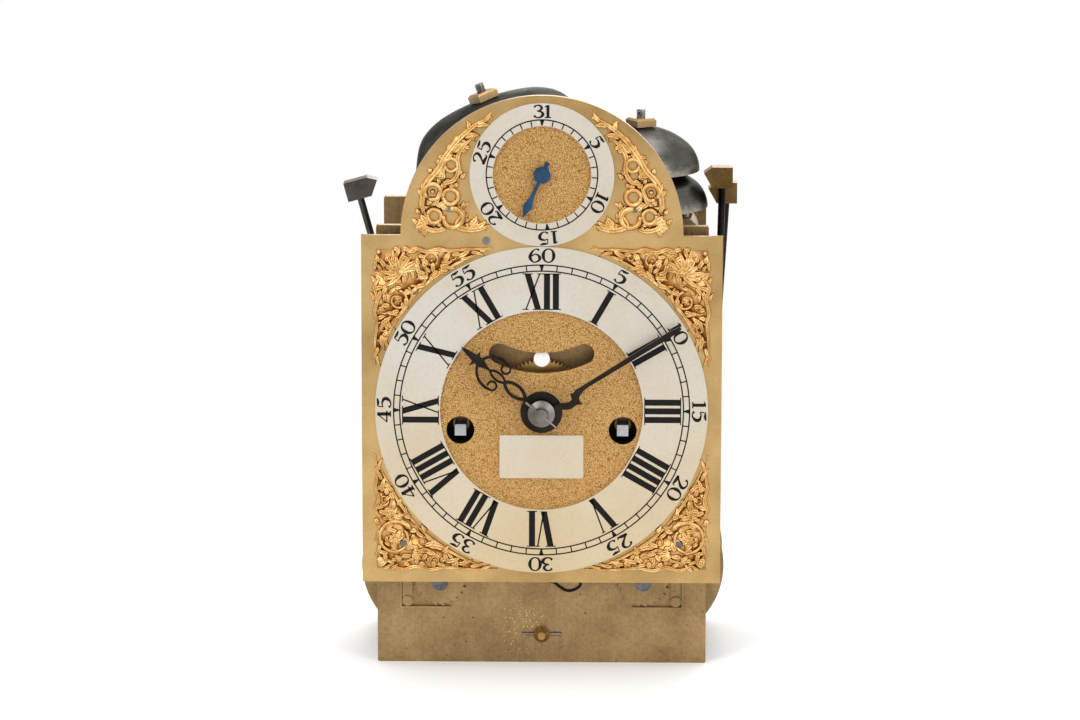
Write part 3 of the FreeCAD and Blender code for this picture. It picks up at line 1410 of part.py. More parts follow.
def quarter_barrel():
    """Pin barrel that lifts the quarter hammers."""
    x, z = quarter_barrel_x, quarter_barrel_z
    y0 = front_inner + quarter_barrel_y
    y1 = y0 + quarter_barrel_length
    profile = [(0, y0), (quarter_flange_r, y0), (quarter_flange_r, y0 + quarter_flange)]
    profile += [(quarter_barrel_r, y0 + quarter_flange), (quarter_barrel_r, y1 - quarter_flange)]
    profile += [(quarter_flange_r, y1 - quarter_flange), (quarter_flange_r, y1), (0, y1)]
    pieces = [turned(x, z, profile), rod(x, z, front_face, back_face, hammer_arbor_r)]
    for y in (upper_hammer_y, lower_hammer_y):
        for n in range(quarter_pins):
            px, pz = polar(0, 0, 1, n * 360 / quarter_pins)
            aim = FreeCAD.Vector(px, 0, pz)
            start = FreeCAD.Vector(x, y, z)
            pieces.append(Part.makeCylinder(quarter_pin_r, quarter_barrel_r + quarter_pin_rise, start, aim))
    return fused(pieces)


def wire_spring():
    """Hooked wire spring on a stud of the front plate."""
    y = front_face - wire_stand
    start = FreeCAD.Vector(wire_start_x, y, wire_start_z)
    turn = FreeCAD.Vector(wire_turn_x, y, wire_turn_z)
    aim = turn - start
    straight = Part.makeCylinder(wire_r, aim.Length, start, aim)
    aim.normalize()
    centre = turn + FreeCAD.Vector(-aim.z, 0, aim.x) * wire_bend_r
    section = Part.Face(Part.Wire(Part.makeCircle(wire_r, turn, aim)))
    bend = section.revolve(centre, Y_AXIS, -wire_bend_angle)
    stud = rod(wire_start_x, wire_start_z, y - wire_foot_r, front_face, wire_foot_r)
    return fused([stud, straight, bend])


def spandrel_screw_hole(x, z):
    """Screw hole through a spandrel."""
    low = dial_front - spandrel_thick - cut_over
    return rod(x, z, low, dial_front + cut_over, spandrel_screw_r + fit_gap)


def corner_point(share):
    """Point of the top right spandrel, from shares of its leg measured in from the corner."""
    corner_x = dial_width / 2 - spandrel_edge
    corner_z = dial_shoulder_z - spandrel_edge
    return corner_x - share[0] * spandrel_leg, corner_z - share[1] * spandrel_leg


def corner_spandrel(holes, scrolls, screw):
    """Top right corner ornament: a pierced web with raised scrolls, cut to the chapter ring."""
    web_front = dial_front - spandrel_web_thick
    front = dial_front - spandrel_thick
    outline = [corner_point(share) for share in spandrel_outline_shares]
    web = flat(outline, web_front, dial_front)
    pieces = [web]
    for p, q, r, a0, a1 in scrolls:
        x, z = corner_point((p, q))
        pieces.append(bent_slot(x, z, r * spandrel_leg, spandrel_stroke / 2, a0, a1, front, dial_front))
    cuts = [rod(0, hands_z, front - cut_over, dial_front + cut_over, chapter_outer_r + spandrel_ring_gap)]
    for p, q, r in holes:
        x, z = corner_point((p, q))
        cuts.append(rod(x, z, front - cut_over, dial_front + cut_over, r * spandrel_leg))
    cuts.append(spandrel_screw_hole(*corner_point(screw)))
    solid = fused(pieces)
    for cut in cuts:
        solid = solid.cut(cut)
    return max(solid.Solids, key=lambda s: s.Volume)


def mirrored(shape):
    """The left-hand twin of a right-hand piece."""
    return shape.mirror(FreeCAD.Vector(0, 0, 0), FreeCAD.Vector(1, 0, 0))


def top_spandrels():
    """Top pair of corner ornaments."""
    right = corner_spandrel(top_hole_shares, top_scroll_shares, top_screw_shares)
    return group([mirrored(right), right])


def bottom_spandrels():
    """Bottom pair of corner ornaments, upside down below the hands."""
    right = corner_spandrel(bottom_hole_shares, bottom_scroll_shares, bottom_screw_shares)
    right = right.mirror(FreeCAD.Vector(0, 0, hands_z), Z_AXIS)
    return group([mirrored(right), right])


def arch_spandrel():
    """Right-hand arch ornament between the date ring and the arch's edge."""
    y0, y1 = dial_front - spandrel_web_thick, dial_front
    outer_r = dial_arch_r - spandrel_edge
    inner_r = date_outer_r + spandrel_ring_gap
    low_z = dial_shoulder_z + spandrel_ring_gap
    low_x = math.sqrt(outer_r ** 2 - (low_z - dial_shoulder_z) ** 2)
    tip_x = arch_tip_share * dial_arch_r
    tip_z = dial_shoulder_z + math.sqrt(outer_r ** 2 - tip_x ** 2)
    hole = rod(0, date_z, y0 - cut_over, y1 + cut_over, inner_r)
    blank = rod(0, dial_shoulder_z, y0, y1, outer_r).cut(hole)
    keep = block(tip_x, low_x + cut_over, y0 - cut_over, y1 + cut_over, low_z, tip_z + cut_over)
    solid = blank.common(keep)
    for x_share, z_share, r_share in arch_hole_shares:
        x, z = x_share * dial_arch_r, dial_shoulder_z + z_share * dial_arch_r
        solid = solid.cut(rod(x, z, y0 - cut_over, y1 + cut_over, r_share * dial_arch_r))
    solid = solid.cut(spandrel_screw_hole(*arch_screw()))
    return max(solid.Solids, key=lambda s: s.Volume)


def arch_screw():
    """Place of the right-hand arch ornament's screw."""
    return arch_screw_shares[0] * dial_arch_r, dial_shoulder_z + arch_screw_shares[1] * dial_arch_r


def arch_spandrels():
    """Pair of arch ornaments."""
    right = arch_spandrel()
    return group([mirrored(right), right])


def spandrel_screws():
    """Screws that hold the six ornaments."""
    top = corner_point(top_screw_shares)
    low = corner_point(bottom_screw_shares)
    places = [top, (low[0], 2 * hands_z - low[1])]
    screws = []
    for side in (-1, 1):
        for x, z in places:
            front = dial_front - spandrel_web_thick - spandrel_screw_rise
            screws.append(rod(side * x, z, front, dial_front, spandrel_screw_r))
        x, z = arch_screw()
        front = dial_front - spandrel_web_thick - spandrel_screw_rise
        screws.append(rod(side * x, z, front, dial_front, spandrel_screw_r))
    return group(screws)


def ring(z, outer, inner):
    """Silvered ring on the dial plate."""
    return tube(0, z, ring_front, dial_front, outer, inner)


def hour_bell():
    """Large bell for the hours, leaning to the left."""
    return bell(hour_bell_pole_x, hour_bell_y, hour_bell_pole_z, hour_bell_r, hour_bell_height,
                hour_bell_tilt)


def quarter_bell(z, r, height):
    """One of the two small bells on the upright post."""
    return bell(quarter_bell_x, quarter_bell_y, z, r, height, 0)


def both_sides(maker):
    """The same piece for the left and the right barrel."""
    return group([maker(-barrel_x), maker(barrel_x)])


def all_pieces():
    """Every node of the clock by name."""
    return {
        "front_plate": front_plate(),
        "back_plate": back_plate(),
        "pillars": pillars(),
        "pillar_pins": pillar_pins(),
        "dial_plate": dial_plate(),
        "dial_feet": dial_feet(),
        "chapter_ring": ring(hands_z, chapter_outer_r, chapter_inner_r),
        "date_ring": ring(date_z, date_outer_r, date_inner_r),
        "name_plate": name_plate(),
        "top_spandrels": top_spandrels(),
        "bottom_spandrels": bottom_spandrels(),
        "arch_spandrels": arch_spandrels(),
        "spandrel_screws": spandrel_screws(),
        "barrel_arbors": both_sides(barrel_arbor),
        "ratchet_wheels": both_sides(ratchet_wheel),
        "clicks": both_sides(click),
        "click_springs": both_sides(click_spring),
        "wire_spring": wire_spring(),
        "potence": potence(),
        "verge_cock": verge_cock(),
        "hour_bell": hour_bell(),
        "upper_bell": quarter_bell(upper_bell_pole_z, upper_bell_r, upper_bell_height),
        "lower_bell": quarter_bell(lower_bell_pole_z, lower_bell_r, lower_bell_height),
        "hour_bell_stand": hour_bell_stand(),
        "quarter_bell_stand": quarter_bell_stand(),
        "bell_nuts": bell_nuts(),
        "hammer_springs": hammer_springs(),
        "minute_hand": minute_hand(),
        "hand_collet": hand_collet(),
        "hand_pin": hand_pin(),
        "cannon_wheel": cannon_wheel(),
        "hour_hand": hour_hand(),
        "hour_wheel": hour_wheel(),
        "minute_wheel": minute_wheel(),
        "date_hand": date_hand(),
        "going_great_wheel": great_wheel(fusee_x, great_teeth, great_module, great_a, great_wheel_y),
        "going_fusee": fusee(fusee_x, great_wheel_y, going_fusee_length),
        "going_barrel": barrel(barrel_x),
        "centre_arbor": centre_arbor(),
        "centre_wheel": centre_wheel(),
        "contrate_arbor": contrate_arbor(),
        "contrate_wheel": contrate_wheel(),
        "crown_arbor": crown_arbor(),
        "crown_wheel": crown_wheel(),
        "verge": verge(),
        "pendulum_rod": pendulum_rod(),
        "pendulum_bob": pendulum_bob(),
        "mock_pendulum": mock_pendulum(),
        "strike_great_wheel": great_wheel(-fusee_x, strike_great_teeth, strike_module, strike_a,
                                          strike_great_wheel_y),
        "strike_fusee": fusee(-fusee_x, strike_great_wheel_y, strike_fusee_length),
        "strike_barrel": barrel(-barrel_x),
        "pin_wheel": pin_wheel(),
        "pallet_wheel": pallet_wheel(),
        "warning_wheel": warning_wheel(),
        "fly": fly(),
        "hour_hammer": hour_hammer(),
        "upper_hammer": quarter_hammer(upper_pivot_x, upper_pivot_z, upper_head_x, upper_head_z,
                                       upper_hammer_y),
        "lower_hammer": quarter_hammer(lower_pivot_x, lower_pivot_z, lower_head_x, lower_head_z,
                                       lower_hammer_y),
        "quarter_barrel": quarter_barrel(),
    }


def main():
    """Write one file for each node."""
    os.makedirs("parts", exist_ok=True)
    for name, shape in all_pieces().items():
        shape.exportStep("parts/" + name + ".step")


main()
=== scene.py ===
import json
import math
import random

import bmesh
import bpy
from mathutils import Matrix, Vector


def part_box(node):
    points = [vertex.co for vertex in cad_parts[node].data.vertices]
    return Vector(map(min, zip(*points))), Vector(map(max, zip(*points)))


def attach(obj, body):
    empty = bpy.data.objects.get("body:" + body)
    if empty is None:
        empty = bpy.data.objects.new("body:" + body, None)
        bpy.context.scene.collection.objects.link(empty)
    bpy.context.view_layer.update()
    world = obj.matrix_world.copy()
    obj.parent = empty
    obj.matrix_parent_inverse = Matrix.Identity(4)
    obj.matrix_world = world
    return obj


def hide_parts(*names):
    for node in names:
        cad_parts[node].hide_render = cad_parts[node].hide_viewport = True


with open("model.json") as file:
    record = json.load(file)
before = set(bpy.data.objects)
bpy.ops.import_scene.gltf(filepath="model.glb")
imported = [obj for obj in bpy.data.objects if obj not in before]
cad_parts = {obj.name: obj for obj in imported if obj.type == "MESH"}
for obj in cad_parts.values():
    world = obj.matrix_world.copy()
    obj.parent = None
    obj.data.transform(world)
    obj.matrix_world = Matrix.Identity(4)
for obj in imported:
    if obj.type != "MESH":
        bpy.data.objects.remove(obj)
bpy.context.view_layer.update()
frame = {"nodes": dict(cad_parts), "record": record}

scene = bpy.context.scene
random.seed(7)

# Lengths are in metres, and mm turns a size in millimetres into metres
mm = 0.001

# Places read from the frame
dial_low, dial_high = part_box("dial_plate")
ring_low, ring_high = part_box("chapter_ring")
date_low, date_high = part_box("date_ring")
plate_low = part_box("front_plate")[0]
hands_z = (ring_low.z + ring_high.z) / 2
date_z = (date_low.z + date_high.z) / 2
chapter_r = (ring_high.x - ring_low.x) / 2
ring_y = ring_low.y
dial_y = ring_high.y
dial_half = dial_high.x
square_low, square_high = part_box("going_fusee")
winding_x = abs(square_low.x + square_high.x) / 2
winding_z = (square_low.z + square_high.z) / 2
winding_r = 5.95 * mm
dial_bottom = dial_low.z
arch_r = 59.6 * mm
shoulder_z = dial_high.z - arch_r

# Ring markings, radii from each ring's centre
ink_y = ring_y - 0.06 * mm
track_outer_r = 62.7 * mm
track_inner_r = 60.1 * mm
track_line = 0.55 * mm
minute_line = 0.5 * mm
five_minute_wide = 2.0 * mm
roman_foot_r = 43.7 * mm
roman_top_r = 58.9 * mm
roman_thick = 2.6 * mm
roman_thin = 0.62 * mm
roman_v_share = 2.6
roman_v_foot_share = 0.62
roman_x_share = 2.7
roman_gap = 1.15 * mm
serif_reach = 0.85 * mm
serif_thick = 0.42 * mm
minute_figure_r = 63.9 * mm
minute_figure_height = 5.7 * mm
date_track_r = 23.4 * mm
date_ring_inner_r = 20.9 * mm
date_figure_r = 24.3 * mm
date_figure_height = 5.3 * mm
matted_r = 43.0 * mm
date_matted_r = 20.7 * mm


def material(name, metallic, roughness):
    """New node material with its shader's plain values set."""
    made = bpy.data.materials.new(name)
    made.use_nodes = True
    shader = made.node_tree.nodes["Principled BSDF"]
    shader.inputs["Metallic"].default_value = metallic
    shader.inputs["Roughness"].default_value = roughness
    return made, made.node_tree, shader


def srgb(red, green, blue):
    """Linear colour from the 0 to 255 values that a picture shows."""
    parts = []
    for value in (red, green, blue):
        share = value / 255
        parts.append(share / 12.92 if share <= 0.04045 else ((share + 0.055) / 1.055) ** 2.4)
    return (*parts, 1.0)


def vector_node(tree, operation, place, other=(0, 0, 0)):
    """Node that works on a linked vector and a fixed one."""
    node = tree.nodes.new("ShaderNodeVectorMath")
    node.operation = operation
    node.inputs[1].default_value = other
    tree.links.new(place, node.inputs[0])
    return node


def place_of(tree):
    """Coordinates in the object's own frame, in millimetres."""
    coords = tree.nodes.new("ShaderNodeTexCoord")
    return stretched(tree, coords.outputs["Object"], 1 / mm, 1 / mm, 1 / mm)


def stretched(tree, place, x, y, z):
    """Coordinates scaled along each axis."""
    return vector_node(tree, "MULTIPLY", place, (x, y, z)).outputs["Vector"]


def one_axis(tree, place, axis):
    """One coordinate of a place."""
    node = tree.nodes.new("ShaderNodeSeparateXYZ")
    tree.links.new(place, node.inputs[0])
    return node.outputs[axis]


def noise(tree, place, scale, detail=4.0, rough=0.55):
    """Noise value, with scale in waves for each millimetre."""
    node = tree.nodes.new("ShaderNodeTexNoise")
    node.inputs["Scale"].default_value = scale
    node.inputs["Detail"].default_value = detail
    node.inputs["Roughness"].default_value = rough
    tree.links.new(place, node.inputs["Vector"])
    return node.outputs["Fac"]


def cells(tree, place, scale):
    """Distance from the cells of a random grid."""
    node = tree.nodes.new("ShaderNodeTexVoronoi")
    node.inputs["Scale"].default_value = scale
    tree.links.new(place, node.inputs["Vector"])
    return node.outputs["Distance"]


def ramp(tree, value, stops):
    """Colour ramp from (place, colour) stops."""
    node = tree.nodes.new("ShaderNodeValToRGB")
    bar = node.color_ramp
    while len(bar.elements) < len(stops):
        bar.elements.new(0.5)
    for element, (spot, colour) in zip(bar.elements, stops):
        element.position = spot
        element.color = colour
    tree.links.new(value, node.inputs["Fac"])
    return node.outputs["Color"]


def grey(value):
    """Grey colour for a ramp."""
    return (value, value, value, 1.0)


def tone(tree, value, low, low_grey, high, high_grey):
    """Ramp between two greys."""
    return ramp(tree, value, [(low, grey(low_grey)), (high, grey(high_grey))])


def mixed(tree, share, first, second, blend="MIX"):
    """Mix of two colours by a share."""
    node = tree.nodes.new("ShaderNodeMix")
    node.data_type = "RGBA"
    node.blend_type = blend
    for source, socket in ((share, node.inputs[0]), (first, node.inputs[6]), (second, node.inputs[7])):
        if isinstance(source, (float, int, tuple)):
            socket.default_value = source
        else:
            tree.links.new(source, socket)
    return node.outputs[2]


def times(tree, first, second):
    """Product of two colours."""
    return mixed(tree, 1.0, first, second, "MULTIPLY")


def math_node(tree, operation, first, second=0.0):
    """Result of one sum."""
    node = tree.nodes.new("ShaderNodeMath")
    node.operation = operation
    for source, socket in ((first, node.inputs[0]), (second, node.inputs[1])):
        if isinstance(source, (float, int)):
            socket.default_value = source
        else:
            tree.links.new(source, socket)
    return node.outputs[0]


def distance_from(tree, place, centre):
    """Distance in millimetres from a line along Y through a centre."""
    flat = stretched(tree, place, 1, 0, 1)
    return vector_node(tree, "DISTANCE", flat, (centre[0] / mm, 0, centre[1] / mm)).outputs["Value"]


def bump(tree, shader, height, strength, distance):
    """Bump from a height value, with its distance in metres."""
    node = tree.nodes.new("ShaderNodeBump")
    node.inputs["Strength"].default_value = strength
    node.inputs["Distance"].default_value = distance
    tree.links.new(height, node.inputs["Height"])
    tree.links.new(node.outputs["Normal"], shader.inputs["Normal"])


def aged_metal(name, light, dark, roughness, stain=0.5, scratch_axis=(0.6, 0.6, 8.0)):
    """Old metal: cloudy colour, faint scratches along one way, small dark spots."""
    made, tree, shader = material(name, 1.0, roughness)
    place = place_of(tree)
    cloud = ramp(tree, noise(tree, place, 0.045, 6.0, 0.62), [(0.3, dark), (0.62, light)])
    fine = tone(tree, noise(tree, place, 0.8, 5.0), 0.35, 1 - 0.35 * stain, 0.6, 1.0)
    spots = tone(tree, cells(tree, place, 0.22), 0.05, 1 - stain, 0.14, 1.0)
    colour = times(tree, cloud, fine)
    colour = mixed(tree, 0.6, colour, spots, "MULTIPLY")
    scratch = noise(tree, stretched(tree, place, *scratch_axis), 1.2, 3.0)
    brushed = tone(tree, scratch, 0.3, 0.86, 0.65, 1.0)
    tree.links.new(times(tree, colour, brushed), shader.inputs["Base Color"])
    rough = tone(tree, scratch, 0.3, roughness * 0.8, 0.7, roughness * 1.25)
    tree.links.new(rough, shader.inputs["Roughness"])
    bump(tree, shader, scratch, 0.18, 0.02 * mm)
    return made


# Middle of the worn part of the front plate
worn_spot = (-9 * mm, 15 * mm)


def plate_metal():
    """Front plate: brushed brass with pale worn specks low in the middle, a few dark pits, and painted shade
    round the winding holes.
    """
    made = aged_metal("front_brass", srgb(170, 141, 99), srgb(136, 111, 75), 0.4, 0.55, (3.0, 3.0, 0.05))
    tree = made.node_tree
    shader = tree.nodes["Principled BSDF"]
    base = shader.inputs["Base Color"].links[0].from_socket
    place = place_of(tree)
    from_worn_spot = math_node(tree, "MULTIPLY", distance_from(tree, place, worn_spot), 0.06)
    near = tone(tree, from_worn_spot, 0.3, 1.0, 0.95, 0.0)
    specks = tone(tree, cells(tree, place, 0.75), 0.14, 1.0, 0.22, 0.0)
    worn = math_node(tree, "MULTIPLY", near, specks)
    pit_cells = cells(tree, stretched(tree, place, 1.0, 0.2, 1.0), 0.13)
    pits = tone(tree, pit_cells, 0.035, 1.0, 0.06, 0.0)
    colour = mixed(tree, worn, base, srgb(232, 204, 146))
    colour = mixed(tree, pits, colour, srgb(58, 40, 24))
    # Painted shade: the plate is darkened round each winding hole, where the dial casts shadow through the
    # holes.
    for side in (-1, 1):
        away = math_node(tree, "MULTIPLY", distance_from(tree, place, (side * winding_x, winding_z)), 0.1)
        colour = mixed(tree, tone(tree, away, 0.7, 1.0, 1.0, 0.0), colour, srgb(36, 28, 20))
    tree.links.new(colour, shader.inputs["Base Color"])
    return made


def dial_metal():
    """Dial plate: polished margin, punched granular ground inside the two rings, and painted shade inside the
    winding holes.
    """
    made, tree, shader = material("dial_brass", 1.0, 0.4)
    place = place_of(tree)
    cloud = ramp(tree, noise(tree, place, 0.03, 5.0, 0.6),
                 [(0.3, srgb(168, 136, 86)), (0.65, srgb(206, 172, 116))])
    fine = tone(tree, noise(tree, place, 1.6, 5.0), 0.3, 0.84, 0.6, 1.0)
    margin = times(tree, cloud, fine)
    punch = cells(tree, place, 2.0)
    grain = noise(tree, place, 3.4, 3.0, 0.75)
    light = math_node(tree, "SUBTRACT", grain, math_node(tree, "MULTIPLY", punch, 0.35))
    ground = ramp(tree, light,
                  [(0.1, srgb(108, 70, 30)), (0.3, srgb(186, 140, 80)), (0.52, srgb(246, 210, 148))])
    centre = math_node(tree, "LESS_THAN", distance_from(tree, place, (0, hands_z)), matted_r / mm)
    arch = math_node(tree, "LESS_THAN", distance_from(tree, place, (0, date_z)), date_matted_r / mm)
    front = math_node(tree, "LESS_THAN", one_axis(tree, place, "Y"), dial_y / mm + 0.2)
    zone = math_node(tree, "MULTIPLY", math_node(tree, "MAXIMUM", centre, arch), front)
    colour = mixed(tree, zone, margin, ground)
    colour = mixed(tree, math_node(tree, "SUBTRACT", 1.0, front), colour, srgb(150, 122, 80))
    # Painted shade: the walls of the winding holes are coloured dark brown to stand for the shadow inside
    # them.
    for side in (-1, 1):
        away = distance_from(tree, place, (side * winding_x, winding_z))
        hole_shade_mask = math_node(tree, "LESS_THAN", away, winding_r / mm)
        colour = mixed(tree, hole_shade_mask, colour, srgb(48, 36, 24))
    tree.links.new(colour, shader.inputs["Base Color"])
    rough = mixed(tree, zone, grey(0.36), grey(0.42))
    tree.links.new(rough, shader.inputs["Roughness"])
    height = math_node(tree, "MULTIPLY", light, zone)
    bump(tree, shader, height, 1.0, 0.5 * mm)
    return made


def silvered_metal():
    """Silvered ring: pale, with faint cloudy toning, a painted warm reflection that turns it yellower towards
    the bottom, and fine circular grain.
    """
    made, tree, shader = material("silvered", 0.55, 0.42)
    place = place_of(tree)
    cloud = ramp(tree, noise(tree, place, 0.022, 4.0, 0.6),
                 [(0.32, srgb(198, 188, 168)), (0.62, srgb(204, 199, 190))])
    # Painted reflection: the ring's colour turns warmer and yellower towards the bottom, by height alone.
    level = math_node(tree, "MULTIPLY", one_axis(tree, place, "Z"), 0.004)
    painted_warm_reflection = ramp(tree, level, [(0.2, srgb(255, 240, 212)), (0.55, srgb(250, 248, 246))])
    cloud = times(tree, cloud, painted_warm_reflection)
    fine = tone(tree, noise(tree, place, 0.9, 6.0), 0.25, 0.9, 0.5, 1.0)
    specks = tone(tree, cells(tree, place, 0.16), 0.02, 0.72, 0.07, 1.0)
    colour = times(tree, cloud, fine)
    colour = mixed(tree, 0.7, colour, specks, "MULTIPLY")
    tree.links.new(colour, shader.inputs["Base Color"])
    grain = noise(tree, place, 3.0, 2.0)
    bump(tree, shader, grain, 0.12, 0.02 * mm)
    return made


def gilt_metal():
    """Cast and gilt brass: warm gold on the high parts, with painted shade that browns the hollows."""
    made, tree, shader = material("gilt", 1.0, 0.38)
    place = place_of(tree)
    cloud = ramp(tree, noise(tree, place, 0.2, 5.0, 0.65),
                 [(0.3, srgb(176, 132, 76)), (0.5, srgb(204, 160, 98)), (0.72, srgb(238, 204, 144))])
    # Painted shade: ambient occlusion browns the hollows and the outlines between the relief's parts.
    corner = tree.nodes.new("ShaderNodeAmbientOcclusion")
    corner.samples = 6
    corner.inputs["Distance"].default_value = 1.6 * mm
    painted_hollow_shade = ramp(tree, corner.outputs["AO"], [(0.25, srgb(142, 104, 68)), (0.8, grey(1.0))])
    colour = times(tree, cloud, painted_hollow_shade)
    tree.links.new(colour, shader.inputs["Base Color"])
    grain = noise(tree, place, 1.6, 4.0, 0.7)
    bump(tree, shader, grain, 0.55, 0.22 * mm)
    return made


def bell_metal(name, axis, lip, light):
    """Dark bell metal with turning marks and a brighter worn band at its mouth."""
    made, tree, shader = material(name, 1.0, 0.34)
    shader.inputs["Specular Tint"].default_value = grey(0.3)
    place = place_of(tree)
    dull = srgb(62 + light, 62 + light, 58 + light)
    clear = srgb(104 + light, 102 + light, 97 + light)
    cloud = ramp(tree, noise(tree, place, 0.05, 5.0, 0.6), [(0.3, dull), (0.62, clear)])
    fine = tone(tree, noise(tree, place, 1.1, 5.0), 0.3, 0.75, 0.6, 1.0)
    base = times(tree, cloud, fine)
    along = vector_node(tree, "DOT_PRODUCT", place, axis).outputs["Value"]
    level = math_node(tree, "SUBTRACT", along, lip / mm)
    speckle = math_node(tree, "MULTIPLY", noise(tree, place, 0.7, 5.0), 5.0)
    ragged = math_node(tree, "MULTIPLY", math_node(tree, "ADD", level, speckle), 0.1)
    worn = tone(tree, ragged, 0.2, 1.0, 0.62, 0.0)
    tree.links.new(mixed(tree, worn, base, srgb(168, 160, 146)), shader.inputs["Base Color"])
    turning = noise(tree, math_node(tree, "MULTIPLY", level, 2.2), 1.0, 3.0)
    rough = tone(tree, turning, 0.3, 0.28, 0.7, 0.4)
    tree.links.new(rough, shader.inputs["Roughness"])
    bump(tree, shader, turning, 0.2, 0.04 * mm)
    return made


def ink():
    """Black wax in the engraved figures."""
    made, tree, shader = material("black_wax", 0.0, 0.65)
    shader.inputs["Specular IOR Level"].default_value = 0.15
    place = place_of(tree)
    colour = ramp(tree, noise(tree, place, 1.4, 4.0), [(0.3, srgb(10, 9, 8)), (0.7, srgb(24, 21, 19))])
    tree.links.new(colour, shader.inputs["Base Color"])
    return made


def seen_rays(tree):
    """One for camera, glossy and transmission rays, nought for the light that falls on things."""
    path = tree.nodes.new("ShaderNodeLightPath")
    both = math_node(tree, "MAXIMUM", path.outputs["Is Camera Ray"], path.outputs["Is Glossy Ray"])
    return math_node(tree, "MAXIMUM", both, path.outputs["Is Transmission Ray"])


def mix_shaders(tree, share, first, second, output):
    """Mixes two shaders by a share into an output's surface."""
    choose = tree.nodes.new("ShaderNodeMixShader")
    for source, socket in zip((share, first.outputs[0], second.outputs[0]), choose.inputs):
        tree.links.new(source, socket)
    tree.links.new(choose.outputs[0], tree.nodes[output].inputs["Surface"])


def pale_floor():
    """Pale floor that keeps the shadow near the object and is plain white farther off."""
    made, tree, shader = material("pale_floor", 0.0, 0.9)
    shader.inputs["Base Color"].default_value = grey(0.96)
    white = tree.nodes.new("ShaderNodeEmission")
    white.inputs["Strength"].default_value = 1.0
    coords = tree.nodes.new("ShaderNodeTexCoord")
    away = vector_node(tree, "LENGTH", coords.outputs["Object"]).outputs["Value"]
    far = tone(tree, away, 0.2, 0.0, 0.45, 1.0)
    share = math_node(tree, "MULTIPLY", far, seen_rays(tree))
    mix_shaders(tree, share, shader, white, "Material Output")
    return made


hammer_brass = aged_metal("hammer_brass", srgb(150, 117, 72), srgb(104, 80, 46), 0.4, 0.5)
hammer_steel = aged_metal("hammer_steel", srgb(112, 106, 99), srgb(66, 61, 57), 0.38, 0.5)
mottled_steel = aged_metal("mottled_steel", srgb(128, 127, 128), srgb(38, 36, 37), 0.42, 0.9)
brass = aged_metal("plate_brass", srgb(172, 144, 102), srgb(138, 113, 76), 0.4, 0.5, (3.0, 3.0, 0.06))
wheel_brass = aged_metal("wheel_brass", srgb(196, 158, 96), srgb(150, 116, 64), 0.32, 0.4)
steel = aged_metal("steel", srgb(150, 145, 138), srgb(92, 87, 82), 0.36, 0.5)
bright_steel = aged_metal("bright_steel", srgb(214, 214, 216), srgb(160, 160, 164), 0.3, 0.4)
dark_steel = aged_metal("dark_steel", srgb(52, 46, 42), srgb(24, 21, 22), 0.36, 0.4)
blued_steel = aged_metal("blued_steel", srgb(64, 96, 130), srgb(28, 40, 62), 0.28, 0.4)
white_disc = aged_metal("white_disc", srgb(250, 248, 244), srgb(236, 232, 226), 0.6, 0.1)
front_brass = plate_metal()
dial_brass = dial_metal()
silver = silvered_metal()
gilt = gilt_metal()
bell_lean = math.radians(19.7)
lean_axis = (-math.sin(bell_lean), 0, math.cos(bell_lean))
hour_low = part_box("hour_bell")[0]
upper_low, upper_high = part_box("upper_bell")
lower_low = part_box("lower_bell")[0]
lip_drop = 26 * mm
hour_lip = hour_low.z * math.cos(bell_lean) - hour_low.x * math.sin(bell_lean) - lip_drop
bronze = bell_metal("hour_bell_metal", lean_axis, hour_lip, 4)
upper_bronze = bell_metal("upper_bell_metal", (0, 0, 1), upper_low.z, 10)
lower_bronze = bell_metal("lower_bell_metal", (0, 0, 1), lower_low.z, 10)
wax = ink()

finishes = {"plate_brass": brass, "wheel_brass": wheel_brass, "steel": steel, "dark_steel": dark_steel,
            "dial_brass": dial_brass, "silvered": silver, "gilt": gilt, "bell_metal": bronze,
            "white_disc": white_disc}
for part in frame["record"]["subparts"]:
    node = frame["nodes"][part["node"]]
    node.data.materials.clear()
    node.data.materials.append(finishes[part["material_slot"]])
own_finishes = {"date_hand": blued_steel, "upper_hammer": hammer_brass, "lower_hammer": hammer_brass,
                "hour_hammer": hammer_steel, "barrel_arbors": mottled_steel, "pillars": wheel_brass,
                "front_plate": front_brass, "ratchet_wheels": brass, "clicks": brass, "click_springs": brass,
                "upper_bell": upper_bronze, "lower_bell": lower_bronze}
for node, finish in own_finishes.items():
    frame["nodes"][node].data.materials[0] = finish


def second_finish(node, finish, chosen):
    """Gives another finish to the faces whose centre passes a test."""
    data = frame["nodes"][node].data
    data.materials.append(finish)
    for face in data.polygons:
        if chosen(face.center):
            face.material_index = 1


hammer_head_height = 9.4 * mm
for node in ("upper_hammer", "lower_hammer"):
    head_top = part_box(node)[1].z
    second_finish(node, dark_steel, lambda spot: spot.z < head_top - hammer_head_height)
for node in ("going_fusee", "strike_fusee"):
    second_finish(node, bright_steel, lambda spot: spot.y < plate_low.y - 0.1 * mm)
second_finish("cannon_wheel", steel, lambda spot: spot.y < ring_y)
second_finish("dial_plate", steel, lambda spot: spot.y < dial_y - 0.05 * mm)


